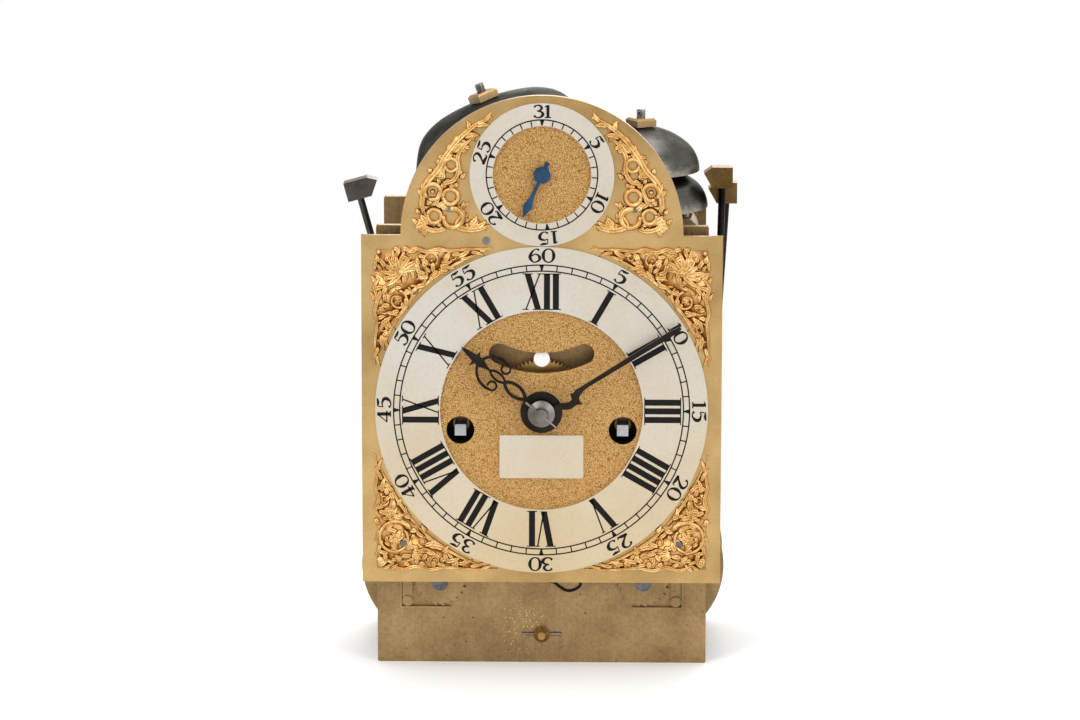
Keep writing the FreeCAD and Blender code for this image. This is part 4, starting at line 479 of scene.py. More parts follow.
# Widths in millimetres by which the sharp edges of carried-over solids are rounded
edge_widths = {"front_plate": 0.25, "back_plate": 0.25, "dial_plate": 0.25, "name_plate": 0.12,
               "chapter_ring": 0.12, "date_ring": 0.12, "minute_hand": 0.28, "hour_hand": 0.25,
               "date_hand": 0.15, "hour_hammer": 0.45, "upper_hammer": 0.45, "lower_hammer": 0.45,
               "upper_bell": 0.4, "lower_bell": 0.4, "hand_collet": 0.2, "mock_pendulum": 0.12,
               "barrel_arbors": 0.3}
sharp_angle = math.radians(40)
for node, width in edge_widths.items():
    bevel = frame["nodes"][node].modifiers.new("soft_edge", "BEVEL")
    bevel.width = width * mm
    bevel.segments = 2
    bevel.limit_method = "ANGLE"
    bevel.angle_limit = sharp_angle


def placed(name, data):
    """New object in the scene."""
    thing = bpy.data.objects.new(name, data)
    scene.collection.objects.link(thing)
    return thing


def piece(name, mesh_maker, finish, body="frame"):
    """New mesh object made by a function on an empty bmesh, riding on a body."""
    made = bmesh.new()
    mesh_maker(made)
    data = bpy.data.meshes.new(name)
    bmesh.ops.recalc_face_normals(made, faces=made.faces)
    made.to_mesh(data)
    made.free()
    data.materials.append(finish)
    thing = placed(name, data)
    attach(thing, body)
    return thing


def join_rows(made, rows, closed=False, capped=True):
    """Skins rows of points that each go round, as a ring when closed, else with its ends capped."""
    pairs = list(zip(rows, rows[1:]))
    if closed:
        pairs.append((rows[-1], rows[0]))
    count = len(rows[0])
    for first, second in pairs:
        for k in range(count):
            other = (k + 1) % count
            made.faces.new((first[k], first[other], second[other], second[k]))
    if capped and not closed:
        made.faces.new(rows[0])
        made.faces.new(list(reversed(rows[-1])))


def side_at(run, n):
    """Unit vector to the left of a run at its point n."""
    x0, y0 = run[max(n - 1, 0)][:2]
    x1, y1 = run[min(n + 1, len(run) - 1)][:2]
    length = math.hypot(x1 - x0, y1 - y0) or 1.0
    return -(y1 - y0) / length, (x1 - x0) / length


def prism(made, outline, y0, y1):
    """Adds a closed solid between two planes from an outline of (x, z) points."""
    join_rows(made, [[made.verts.new((x, y, z)) for x, z in outline] for y in (y0, y1)])


def band(made, inner, outer, closed=False):
    """Adds inked form between two runs of matching points, a closed ring or a strip with two ends."""
    rows = []
    for near, far in zip(inner, outer):
        corners = ((near, ink_y), (far, ink_y), (far, ring_y), (near, ring_y))
        rows.append([made.verts.new((spot[0], y, spot[1])) for spot, y in corners])
    join_rows(made, rows, closed)


def on_ring(centre_z, angle, points):
    """Maps (across, out) points to a place on a ring, clockwise from twelve, with out along the radius."""
    turn = math.radians(angle)
    right = (math.cos(turn), -math.sin(turn))
    away = (math.sin(turn), math.cos(turn))
    return [(right[0] * u + away[0] * v, centre_z + right[1] * u + away[1] * v) for u, v in points]


def circle_line(made, centre_z, r, steps):
    """Adds a thin inked ring."""
    edges = [(0, r - track_line / 2), (0, r + track_line / 2)]
    inner, outer = zip(*[on_ring(centre_z, 360 * n / steps, edges) for n in range(steps)])
    band(made, inner, outer, True)


def ring_mark(made, centre_z, angle, foot, top):
    """Adds a mark on a ring from its foot to its top, each a left and a right end and a radius."""
    mark = [(foot[0], foot[2]), (foot[1], foot[2]), (top[1], top[2]), (top[0], top[2])]
    prism(made, on_ring(centre_z, angle, mark), ink_y, ring_y)


def chapter_track(made):
    """Minute track: two lines, minute marks and wedge marks at each five."""
    for r in (track_outer_r, track_inner_r):
        circle_line(made, hands_z, r, 240)
    half = minute_line / 2
    wide = five_minute_wide / 2
    for minute in range(60):
        top = half if minute % 5 else wide
        ring_mark(made, hands_z, minute * 6, (-half, half, track_inner_r), (-top, top, track_outer_r))


def roman_strokes(word):
    """Thick and thin bars of a Roman figure as (u0, u1, width) from foot to top, and its serif spans."""
    height = roman_top_r - roman_foot_r
    bars, serifs = [], []
    at = 0.0
    for letter in word:
        thick_at = at + roman_thick / 2
        span = (at - serif_reach, at + roman_thick + serif_reach)
        if letter == "I":
            wide = roman_thick
            bars.append((thick_at, thick_at, roman_thick))
            serifs += [(span, 0.0), (span, height)]
        elif letter == "V":
            wide = roman_thick * roman_v_share
            foot = at + wide * roman_v_foot_share
            bars += [(foot, thick_at, roman_thick), (foot, at + wide, roman_thin)]
            serifs += [(span, height), ((at + wide - serif_reach, at + wide + serif_reach), height)]
        else:
            wide = roman_thick * roman_x_share
            bars += [(at + wide - roman_thick / 2, thick_at, roman_thick),
                     (at + roman_thin, at + wide - roman_thin, roman_thin)]
            serifs += [(span, height),
                       ((at + wide - roman_thick - serif_reach, at + wide + serif_reach), 0.0),
                       ((at - serif_reach, at + 2 * serif_reach), 0.0),
                       ((at + wide - 2 * serif_reach, at + wide + serif_reach), height)]
        at += wide + roman_gap
    return bars, serifs, at - roman_gap


def roman_figure(made, word, angle):
    """One hour figure on the chapter ring, its feet to the centre."""
    bars, serifs, wide = roman_strokes(word)
    shift = -wide / 2
    for low, high, width in bars:
        foot = (shift + low - width / 2, shift + low + width / 2, roman_foot_r)
        top = (shift + high - width / 2, shift + high + width / 2, roman_top_r)
        ring_mark(made, hands_z, angle, foot, top)
    for (left, right), level in serifs:
        ends = (shift + left, shift + right)
        foot_r = roman_foot_r + level - serif_thick / 2
        ring_mark(made, hands_z, angle, (*ends, foot_r), (*ends, foot_r + serif_thick))


# Figures as pen strokes: (x, y, width) in hundredths of the figure's height, from start to end
figure_strokes = {
    "0": [[(28, 100, 6), (10, 86, 10), (3, 50, 17), (10, 14, 10), (28, 0, 6), (46, 14, 10), (53, 50, 17),
           (46, 86, 10), (28, 100, 6)]],
    "1": [[(16, 0, 16), (16, 50, 16), (16, 100, 16)],
          [(0, 86, 5), (16, 98, 7)],
          [(0, 2, 6), (32, 2, 6)]],
    "2": [[(6, 72, 15), (10, 90, 8), (28, 100, 7), (46, 86, 13), (44, 62, 15), (26, 32, 9), (5, 6, 6)],
          [(4, 7, 12), (28, 8, 16), (50, 3, 8), (54, 18, 5)]],
    "3": [[(6, 84, 13), (16, 97, 7), (32, 98, 9), (44, 80, 14), (36, 60, 9), (20, 53, 5)],
          [(20, 53, 5), (42, 46, 10), (50, 26, 17), (38, 5, 10), (20, 1, 7), (5, 16, 14)]],
    "4": [[(40, 100, 6), (20, 62, 5), (2, 30, 5)],
          [(0, 29, 7), (56, 29, 7)],
          [(40, 0, 17), (40, 50, 17), (40, 100, 17)],
          [(26, 2, 6), (54, 2, 6)]],
    "5": [[(12, 98, 5), (30, 94, 13), (50, 100, 6)],
          [(12, 98, 5), (8, 58, 5)],
          [(8, 58, 5), (26, 64, 8), (46, 50, 16), (47, 26, 17), (34, 4, 9), (18, 0, 6), (5, 13, 13)]],
    "6": [[(47, 90, 12), (34, 99, 6), (16, 82, 9), (4, 40, 17), (14, 8, 9), (28, 0, 6), (46, 14, 11),
           (50, 33, 16), (42, 53, 10), (28, 60, 6), (10, 46, 7)]],
}
figure_width_shares = {"0": 0.56, "1": 0.32, "2": 0.55, "3": 0.5, "4": 0.57, "5": 0.52, "6": 0.54}
figure_space_share = 0.15
figure_stretch = 1.56
figure_weight = 1.5
stroke_steps = 8


def smooth_run(points, steps):
    """Catmull-Rom points through a run of tuples."""
    if len(points) < 3:
        shares = [n / steps for n in range(steps + 1)]
        return [tuple(a + (b - a) * share for a, b in zip(*points)) for share in shares]
    closed = points[0] == points[-1]
    before = points[-2] if closed else points[0]
    after = points[1] if closed else points[-1]
    padded = [before] + list(points) + [after]
    run = []
    for k in range(1, len(padded) - 2):
        a, b, c, d = padded[k - 1:k + 3]
        for n in range(steps):
            t = n / steps
            run.append(tuple(0.5 * (2 * q + (r - p) * t + (2 * p - 5 * q + 4 * r - s) * t * t
                                    + (3 * q - p - 3 * r + s) * t ** 3)
                             for p, q, r, s in zip(a, b, c, d)))
    run.append(tuple(points[-1]))
    return run


def ribbon_sides(run):
    """Left and right edges of a stroke of (x, y, width) points."""
    left, right = [], []
    for n, (x, y, width) in enumerate(run):
        nx, ny = side_at(run, n)
        left.append((x + nx * width / 2, y + ny * width / 2))
        right.append((x - nx * width / 2, y - ny * width / 2))
    return left, right


def arabic_figure(made, word, centre_z, angle, foot_r, height):
    """A number on a ring, its feet to the centre."""
    widths = [figure_width_shares[c] * figure_stretch for c in word]
    total = (sum(widths) + figure_space_share * (len(word) - 1)) * height
    at = -total / 2
    for c, width in zip(word, widths):
        for stroke in figure_strokes[c]:
            run = smooth_run([tuple(part / 100 for part in spot) for spot in stroke], stroke_steps)
            wide = [(x * figure_stretch, y, w * figure_weight) for x, y, w in run]
            left, right = ribbon_sides(wide)
            left = [(at + x * height, foot_r + y * height) for x, y in left]
            right = [(at + x * height, foot_r + y * height) for x, y in right]
            band(made, on_ring(centre_z, angle, left), on_ring(centre_z, angle, right))
        at += (width + figure_space_share) * height


def chapter_figures(made):
    """Hour figures inside the track and minute figures outside it."""
    words = ["XII", "I", "II", "III", "IIII", "V", "VI", "VII", "VIII", "IX", "X", "XI"]
    for hour, word in enumerate(words):
        roman_figure(made, word, hour * 30)
    for minute in range(5, 65, 5):
        arabic_figure(made, str(minute), hands_z, minute * 6, minute_figure_r, minute_figure_height)


def date_marks(made):
    """Date ring: a track line, 31 divisions and the numbers of some days."""
    circle_line(made, date_z, date_track_r, 160)
    half = minute_line / 2
    for day in range(1, 32):
        angle = day * 360 / 31
        shown = day == 31 or day % 5 == 0 and day < 30
        wide = half * 4 if shown else half
        ring_mark(made, date_z, angle, (-half, half, date_ring_inner_r), (-wide, wide, date_track_r))
        if shown:
            arabic_figure(made, str(day), date_z, angle, date_figure_r, date_figure_height)


# Spandrels: sizes of the relief, then of the small leaves that fill it, which are in millimetres
relief_rise = 2.2 * mm
leaf_rise = 1.9 * mm
ridge_rise_share = 0.8
groove_depth = 0.42
groove_width = 0.24
leaf_bend = 22
leaf_root = 0.12
leaf_power = 0.8
leaf_tip = 0.2
scroll_steps = 12
scroll_step_angle = 14
fan_short_share = 0.88
ground_thick = 0.7 * mm
spandrel_inset = 4.2 * mm
spandrel_steps = 6
section_points = 9
filler_tries = 4000
corner_leaf_count = 70
corner_span = (1.2, 47)
corner_leaf_lengths = (3.4, 6.0)
corner_leaf_widths = (1.7, 2.7)
corner_leaf_turn = 35
corner_spacing = 1.9
edge_clearance = 0.8
ring_clearance = 2.2
screw_clearance = 3
arch_leaf_count = 60
arch_leaf_lengths = (2.6, 4.4)
arch_leaf_widths = (1.6, 2.6)
arch_spacing = 1.7
arch_limit_r = 55.2
date_limit_r = 31.8
shoulder_clearance = 1.8
stem_scatter = 2.4
hole_clearance = 0.9

# Corner ornaments: runs of (u, v, width) in millimetres from the corner, u along the edge, v to the ring
top_ridges = [
    [(15, 3.4, 1.2), (19, 1.4, 2), (23.6, 2.6, 2.2), (28.6, 1.4, 2), (33, 2.2, 1.8), (41, 1.6, 1.5),
     (51.5, 1.4, 0.6)],
    [(3.4, 14, 1.2), (1.5, 18, 2), (2.6, 23, 2.2), (1.5, 28.6, 2), (2.4, 33, 1.8), (1.6, 41, 1.5),
     (1.4, 51.5, 0.6)],
    [(19.8, 19.8, 1), (24.6, 15.2, 1.7), (30, 11.3, 1.7), (37, 7.2, 1.4), (46, 3, 0.6)],
    [(18.6, 21, 1), (14.6, 26.2, 1.7), (10.9, 31.4, 1.7), (7, 38.4, 1.4), (3, 46.5, 0.6)],
    [(16.6, 17.2, 1.1), (21, 17, 1.5), (23.6, 12.6, 1.4), (21.6, 8.4, 1.2), (17.6, 7.4, 0.8)],
    [(15.8, 17.8, 1.1), (17.2, 22, 1.5), (13.2, 28.6, 1.5), (8.4, 33.6, 1.2), (5.4, 40, 0.7)],
]
top_scrolls = [
    (11.2, 23.6, 4.3, 1.2, -80, 380, 1.7, 1.1),
    (25.6, 6.4, 3.6, 1.7, 150, 520, 1.6, 1.1),
    (4.9, 35.2, 2.6, 0.9, -150, 260, 1.3, 0.9),
    (34.2, 4.8, 2.4, 0.9, 170, 560, 1.3, 0.8),
    (5.2, 27.6, 1.9, 0.7, 30, 420, 1.1, 0.8),
]
top_fans = [
    (12.6, 11.6, 120, 330, 10, 10.2, 3.1),
    (11.2, 23.6, 0, 324, 6, 2.6, 1.2),
    (29.6, 7.6, -30, 40, 3, 6.4, 2.2),
    (6.2, 31.6, 70, 130, 3, 6.4, 2.2),
]
top_leaves = [
    (36.6, 4.6, -12, 7, 2.6), (37.6, 5.6, 4, 6, 1.9), (42, 2.8, -6, 6, 1.8), (45.6, 2.2, -2, 5.6, 1.3),
    (4.6, 38.4, 102, 7, 2.6), (5.6, 39.4, 88, 6, 1.9), (2.8, 43.6, 96, 6, 1.8), (2.2, 47, 92, 5.2, 1.3),
    (6.6, 17.6, 110, 5.6, 2.2), (3.8, 20.2, 96, 5.6, 2), (19.6, 4.6, -12, 5.2, 2), (27.8, 11.2, 18, 5.4, 1.8),
]
top_beads = [(12.6, 11.6, 2), (11.2, 23.6, 1), (25.6, 6.4, 0.7), (3.2, 3, 1)]
top_centres = [form[:2] for form in top_fans[:1] + top_scrolls[:4]]
top_screw = (18, 14)

bottom_ridges = [
    [(8, 3.6, 1.2), (13, 1.4, 2), (18.6, 2.8, 2.2), (24.4, 1.4, 2), (31, 2.4, 1.8), (42, 1.6, 1.5),
     (53.5, 1.7, 0.6)],
    [(3.6, 24, 1.2), (1.5, 27.4, 2), (2.8, 32, 2.2), (1.6, 37, 1.9), (2.2, 42, 1.5), (1.5, 51.5, 0.6)],
    [(20, 19.6, 1), (25, 14.8, 1.8), (31, 10.6, 1.7), (38, 6.6, 1.3), (47, 2.8, 0.6)],
    [(18.4, 21.2, 1), (14.2, 26.8, 1.8), (10.4, 32.4, 1.7), (6.6, 39.4, 1.3), (2.8, 47, 0.6)],
    [(12, 4.6, 1.2), (17.4, 6.2, 1.6), (22.4, 10.4, 1.7), (28.6, 7, 1.4), (34.6, 4.2, 0.8)],
    [(4.6, 25, 1.2), (7.6, 28.6, 1.6), (8.2, 33.4, 1.5), (5.2, 38.6, 1.2), (3.6, 43, 0.8)],
]
bottom_scrolls = [
    (9.8, 15.2, 7.6, 5.2, 30, 400, 2.3, 1.7),
    (26.4, 5.6, 2.8, 1, 160, 560, 1.4, 0.9),
    (5, 31.6, 2.6, 0.9, -150, 270, 1.4, 0.9),
    (22, 13.6, 2.3, 0.8, 0, 400, 1.2, 0.8),
]
bottom_fans = [
    (9.8, 14.6, 0, 315, 8, 4.4, 2.2),
    (17, 8.6, -40, 30, 4, 6.2, 2.3),
    (8, 24.6, 40, 120, 4, 5.4, 2.1),
    (3, 3, 20, 70, 3, 5, 2.2),
]
bottom_leaves = [
    (31.2, 5.2, -6, 7, 2.6), (36.4, 4.2, -8, 6.6, 2.2), (41.6, 3, -6, 6.4, 1.8), (46.6, 2.2, -2, 6, 1.3),
    (4.4, 35.2, 98, 7, 2.6), (4, 40.2, 98, 6.4, 2), (2.8, 44.2, 94, 6, 1.6), (25.6, 11.6, 30, 4.6, 1.8),
    (29.6, 9.2, 24, 4.6, 1.7), (13.6, 24.6, 62, 4.6, 1.8), (10.6, 29.2, 70, 4.6, 1.7), (19.6, 4, 0, 5.2, 1.9),
]
bottom_beads = [(9.8, 14.6, 1.2), (26.4, 5.6, 0.7), (15.2, 3.2, 0.8), (2.8, 21.6, 0.8)]
bottom_centres = [scroll[:2] for scroll in bottom_scrolls]
bottom_screw = (14, 16)

# Arch spandrels: the same, with u from the clock's middle and v up from the shoulder
arch_ridges = [
    [(35.4, 12.6, 2.04), (33.2, 9.2, 3.06), (35.6, 4.4, 3.4), (31, 2.6, 3.06), (26.2, 3, 2.55),
     (21.6, 4.6, 1.02)],
    [(49.6, 10, 1.7), (50.4, 14, 3.06), (48.6, 22, 3.4), (43.4, 28.4, 3.4), (40.6, 33.8, 3.06),
     (34.6, 41.4, 2.72), (27.6, 47.2, 2.04), (20.9, 50.6, 1.02)],
    [(41.4, 22.4, 2.38), (37.2, 23.6, 2.55), (35, 28, 2.72), (35.4, 33.4, 2.55), (32.4, 38.8, 2.04),
     (27, 43.4, 1.19)],
    [(40.6, 3, 2.04), (44.6, 2.2, 2.72), (49, 3.6, 2.72), (51.4, 7.4, 1.36)],
    [(41.8, 12.2, 1.7), (44.2, 14, 2.55), (42.6, 19, 2.38), (41.6, 22.6, 1.36)],
]
arch_scrolls = [
    (37.4, 7.6, 4.1, 3.9, 75, 375, 3.23, 2.55),
    (45.9, 18.7, 3.5, 3.3, -40, 300, 2.89, 2.21),
    (38.4, 16.6, 3.3, 3.1, 0, 360, 2.38, 2.38),
    (45.3, 8.3, 3, 2.8, 20, 380, 2.38, 2.21),
    (38.2, 30.1, 2.9, 2.6, 0, 360, 2.21, 2.04),
]
arch_fans = [
    (48.6, 4.6, -60, 80, 5, 5.4, 3.74),
    (30.6, 4.4, 150, 215, 4, 5.6, 3.23),
    (42.2, 25.4, 30, 110, 3, 4.6, 3.06),
]
arch_leaves = [
    (37, 36, 150, 6.2, 3.74), (36.4, 38, 95, 5.6, 3.4), (32.4, 42, 152, 6.4, 3.4),
    (30.6, 44.6, 100, 4.6, 2.72), (27.4, 46.8, 158, 6, 2.72), (24.6, 48.6, 150, 5, 2.04),
    (28, 3.6, 168, 5.6, 2.72), (49.4, 16, 70, 5, 3.06), (50.6, 11.6, 82, 4.6, 2.72),
    (33.6, 11.4, 120, 3.6, 2.55), (40.2, 12, 20, 4, 2.72), (42, 12.6, 200, 4, 2.55),
]
arch_beads = [(45.9, 18.7, 1.1), (41.6, 12.4, 0.9), (40.6, 21.2, 0.9), (36.6, 34, 0.9)]
arch_hole_radii = [3.0, 2.4, 2.6, 2.3, 2.2]


def ridge_height(across, ribs):
    """Height share at a place from -1 to 1 over a run's width, with a groove where it has ribs."""
    dome = math.sqrt(max(0.0, 1 - across * across))
    if ribs:
        return dome * (1 - groove_depth * math.exp(-(across / groove_width) ** 2))
    return dome


def relief_run(made, run, rise, ribs):
    """Adds a rounded closed ridge along a run of (x, z, width) points in metres."""
    rows = []
    for n, (x, z, width) in enumerate(run):
        nx, nz = side_at(run, n)
        row = []
        for k in range(section_points):
            across = -1 + 2 * k / (section_points - 1)
            high = min(rise, ridge_rise_share * width) * ridge_height(across, ribs)
            half = across * width / 2
            row.append(made.verts.new((x + nx * half, dial_y - ground_thick * 0.5 - high, z + nz * half)))
        for half in (width / 2, -width / 2):
            row.append(made.verts.new((x + nx * half, dial_y, z + nz * half)))
        rows.append(row)
    join_rows(made, rows)


def spiral_run(scroll):
    """Run of (u, v, width) points round a scroll that winds inwards."""
    u, v, start_r, end_r, start, end, start_w, end_w = scroll
    steps = max(scroll_steps, int(abs(end - start) / scroll_step_angle))
    run = []
    for n in range(steps + 1):
        share = n / steps
        turn = math.radians(start + (end - start) * share)
        r = start_r + (end_r - start_r) * share
        run.append((u + r * math.cos(turn), v + r * math.sin(turn), start_w + (end_w - start_w) * share))
    return run


def leaf_run(leaf):
    """Run of (u, v, width) points along a pointed leaf that bends a little."""
    u, v, angle, length, width = leaf
    steps = 9
    bend = leaf_bend if (u + v) % 2 < 1 else -leaf_bend
    run = []
    for n in range(steps + 1):
        share = n / steps
        turn = math.radians(angle + bend * share)
        swell = math.sin(math.pi * (leaf_root + (1 - leaf_root) * share) ** leaf_power)
        run.append((u + length * share * math.cos(turn), v + length * share * math.sin(turn),
                    leaf_tip + width * max(0.0, swell)))
    return run


def fan_leaves(fan):
    """Leaves of a shell, all from one centre."""
    u, v, start, end, count, length, width = fan
    leaves = []
    for n in range(count):
        angle = start + (end - start) * n / (count - 1)
        reach = length * (fan_short_share if n % 2 else 1.0)
        leaves.append((u, v, angle, reach, width))
    return leaves


def bead(made, x, z, r):
    """Adds a small dome with a closed foot."""
    rings, steps = 4, 12
    turns = [2 * math.pi * k / steps for k in range(steps)]
    rows = []
    for n in range(rings):
        lift = math.radians(90 * n / rings)
        out, y = r * math.cos(lift), dial_y - ground_thick - r * math.sin(lift)
        rows.append([made.verts.new((x + out * math.cos(turn), y, z + out * math.sin(turn)))
                     for turn in turns])
    foot = [made.verts.new((spot.co.x, dial_y, spot.co.z)) for spot in rows[0]]
    rows.insert(0, foot)
    tip = made.verts.new((x, dial_y - ground_thick - r, z))
    join_rows(made, rows, capped=False)
    for k in range(steps):
        made.faces.new((rows[-1][k], rows[-1][(k + 1) % steps], tip))
    made.faces.new(foot)


def relief(made, to_dial, ridges, scrolls, fans, leaves, beads):
    """Adds one ornament from its tables, placed by a function from (u, v) to (x, z)."""
    shells = [leaf for fan in fans for leaf in fan_leaves(fan)]
    runs = [(smooth_run(ridge, spandrel_steps), relief_rise, True) for ridge in ridges]
    runs += [(spiral_run(scroll), relief_rise, False) for scroll in scrolls]
    runs += [(leaf_run(leaf), leaf_rise, True) for leaf in shells + leaves]
    for run, rise, ribs in runs:
        relief_run(made, [(*to_dial(u, v), width * mm) for u, v, width in run], rise, ribs)
    for u, v, r in beads:
        bead(made, *to_dial(u, v), r * mm)


def accepted(draw, allowed, count, spacing, screw=None):
    """The first leaves drawn that are allowed at both ends and keep clear of each other and a screw."""
    leaves = []
    for _ in range(filler_tries):
        u, v, angle, length, width = draw()
        turn = math.radians(angle)
        ends = ((u, v), (u + length * math.cos(turn), v + length * math.sin(turn)))
        crowded = any(math.hypot(u - leaf[0], v - leaf[1]) < spacing for leaf in leaves)
        crowded = crowded or screw and math.hypot(u - screw[0], v - screw[1]) < screw_clearance
        if not crowded and all(allowed(a, b) for a, b in ends):
            leaves.append((u, v, angle, length, width))
        if len(leaves) == count:
            break
    return leaves


def filler_leaves(centres, screw):
    """Small leaves that fill a corner, each lying round the nearest centre and clear of the screw."""
    across = (dial_half - spandrel_inset) / mm
    gap_r = chapter_r / mm + ring_clearance

    def draw():
        u, v = random.uniform(*corner_span), random.uniform(*corner_span)
        angle_shift = random.uniform(-corner_leaf_turn, corner_leaf_turn)
        length, width = random.uniform(*corner_leaf_lengths), random.uniform(*corner_leaf_widths)
        cu, cv = min(centres, key=lambda c: math.hypot(u - c[0], v - c[1]))
        return u, v, math.degrees(math.atan2(v - cv, u - cu)) + 90 + angle_shift, length, width

    def allowed(u, v):
        return min(u, v) >= edge_clearance and math.hypot(u - across, v - across) >= gap_r

    return accepted(draw, allowed, corner_leaf_count, corner_spacing, screw)


def arch_filler():
    """Small leaves along the arch ornament's stems, clear of its round openings."""
    holes = [(*scroll[:2], r + hole_clearance) for scroll, r in zip(arch_scrolls, arch_hole_radii)]
    stems = [spot for run in arch_ridges for spot in smooth_run(run, 4)]
    date_up = (date_z - shoulder_z) / mm

    def draw():
        u, v, _width = random.choice(stems)
        u += random.uniform(-stem_scatter, stem_scatter)
        v += random.uniform(-stem_scatter, stem_scatter)
        angle = random.uniform(0, 360)
        return u, v, angle, random.uniform(*arch_leaf_lengths), random.uniform(*arch_leaf_widths)

    def allowed(u, v):
        if math.hypot(u, v) > arch_limit_r or math.hypot(u, v - date_up) < date_limit_r:
            return False
        return v >= shoulder_clearance and all(math.hypot(u - x, v - z) >= r for x, z, r in holes)

    return accepted(draw, allowed, arch_leaf_count, arch_spacing)


def corner_place(side, level, way):
    """Function from (u, v) in a dial corner to (x, z)."""
    def place(u, v):
        return side * (dial_half - spandrel_inset - u * mm), level + way * (spandrel_inset + v * mm)
    return place


def corner_ground(made, to_dial, level, way):
    """Adds the thin ground under a corner ornament, up to the ring."""
    reach = 47.0
    edge = 1.9
    wave_rise = 0.55
    wave_step = 1.9
    gap_r = chapter_r / mm + 1.6
    across = (dial_half - spandrel_inset) / mm
    drop = way * (hands_z - level) / mm - spandrel_inset / mm
    outline = [(edge, edge), (reach, edge)]
    steps = 24
    first = math.atan2(edge - drop, reach - across)
    last = math.atan2(reach - drop, edge - across)
    first, last = first % (2 * math.pi), last % (2 * math.pi)
    for n in range(steps + 1):
        turn = first + (last - first) * n / steps
        wave = wave_rise * (1 + math.sin(n * wave_step))
        outline.append((max(edge, across + (gap_r + wave) * math.cos(turn)),
                        max(edge, drop + (gap_r + wave) * math.sin(turn))))
    outline.append((edge, reach))
    prism(made, [to_dial(u, v) for u, v in outline], dial_y - ground_thick, dial_y)


top_filler = filler_leaves(top_centres, top_screw)
bottom_filler = filler_leaves(bottom_centres, bottom_screw)
arch_small_leaves = arch_filler()


def corner_pair(made, level, way, tables):
    """Adds the left and right ornaments of two corners."""
    for side in (-1, 1):
        place = corner_place(side, level, way)
        corner_ground(made, place, level, way)
        relief(made, place, *tables)


def top_relief(made):
    """The two upper corner ornaments."""
    tables = (top_ridges, top_scrolls, top_fans, top_leaves + top_filler, top_beads)
    corner_pair(made, shoulder_z, -1, tables)


def bottom_relief(made):
    """The two lower corner ornaments."""
    tables = (bottom_ridges, bottom_scrolls, bottom_fans, bottom_leaves + bottom_filler, bottom_beads)
    corner_pair(made, dial_bottom, 1, tables)


def arch_relief(made):
    """The two open ornaments in the arch."""
    for side in (-1, 1):
        def place(u, v):
            return side * u * mm, shoulder_z + v * mm
        relief(made, place, arch_ridges, arch_scrolls, arch_fans, arch_leaves + arch_small_leaves, arch_beads)


for node, maker in (("top_spandrels", top_relief), ("bottom_spandrels", bottom_relief),
                    ("arch_spandrels", arch_relief)):
    ornament = piece(node + "_relief", maker, gilt, "frame")
    for face in ornament.data.polygons:
        face.use_smooth = True
    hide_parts(node)


# The hour bell's crown, its nut and the two threaded stud ends
hour_pole = Vector((-25.4, 32.0, 239.3)) * mm
hour_bell_r = 41.3 * mm
hour_bell_height = 32.0 * mm
bell_wall = 1.6 * mm
stud_r = 1.85 * mm
bell_profile_shares = [(0.05, 0.001), (0.3, 0.028), (0.58, 0.105), (0.78, 0.27), (0.915, 0.58), (0.96, 0.8),
                       (1.0, 1.0)]
bell_steps = 96
curve_steps = 7
nut_half = 4.8 * mm
nut_height = 3.6 * mm
nut_chamfer = 0.9 * mm
nut_turn = 32
thread_pitch = 0.8 * mm
thread_rise = 0.28 * mm
thread_flank = 0.36 * thread_pitch
thread_steps = 20
thread_fade_steps = 5
stud_rise = 7.0 * mm
quarter_pole = Vector(((upper_low.x + upper_high.x) / 2, (upper_low.y + upper_high.y) / 2, upper_high.z))
hour_stud = Matrix.Translation(hour_pole) @ Matrix.Rotation(-bell_lean, 4, "Y")
quarter_stud = Matrix.Translation(quarter_pole)


def lathe(made, outline, steps):
    """Adds a closed ring from an outline of (r, z) points turned round Z."""
    rows = []
    for k in range(steps):
        turn = 2 * math.pi * k / steps
        rows.append([made.verts.new((r * math.cos(turn), r * math.sin(turn), z)) for r, z in outline])
    join_rows(made, rows, True)


def on_studs(form, *studs):
    """Function that adds a form on each stud, turned and moved from upright at the origin."""
    def make(made):
        for stud in studs:
            start = len(made.verts)
            form(made)
            made.verts.ensure_lookup_table()
            for spot in made.verts[start:]:
                spot.co = stud @ spot.co
    return make


def bell_form(made):
    """Bell with a low crown, round shoulder and straight mouth."""
    profile = [(r * hour_bell_r, -d * hour_bell_height) for r, d in bell_profile_shares]
    outer = smooth_run(profile, curve_steps)
    inner = [(max(r - bell_wall, outer[0][0]), z - bell_wall) for r, z in outer]
    inner[-1] = (hour_bell_r - bell_wall, -hour_bell_height)
    lathe(made, outer + list(reversed(inner)), bell_steps)


def nut_form(made):
    """Square nut with a chamfered top."""
    rows = []
    top = nut_half - nut_chamfer
    for half, z in ((nut_half, 0.0), (nut_half, nut_height - nut_chamfer), (top, nut_height)):
        reach = half * math.sqrt(2)
        turns = [math.radians(45 + 90 * k + nut_turn) for k in range(4)]
        rows.append([made.verts.new((reach * math.cos(turn), reach * math.sin(turn), z)) for turn in turns])
    join_rows(made, rows)


def thread_form(made):
    """Screw thread from the nut's top to the stud's end, faded out at both ends."""
    rise = stud_rise - nut_height
    turns = rise / thread_pitch
    steps = int(turns * thread_steps)
    root_r = stud_r - thread_rise / 2
    rows = []
    for k in range(steps + 1):
        turn = 2 * math.pi * turns * k / steps
        z = nut_height + rise * k / steps
        fade = min(1.0, min(k, steps - k) / thread_fade_steps + 0.05)
        section = ((root_r, -thread_flank), (stud_r + thread_rise * fade, 0.0), (root_r, thread_flank))
        rows.append([made.verts.new((r * math.cos(turn), r * math.sin(turn), z + up)) for r, up in section])
    join_rows(made, rows)


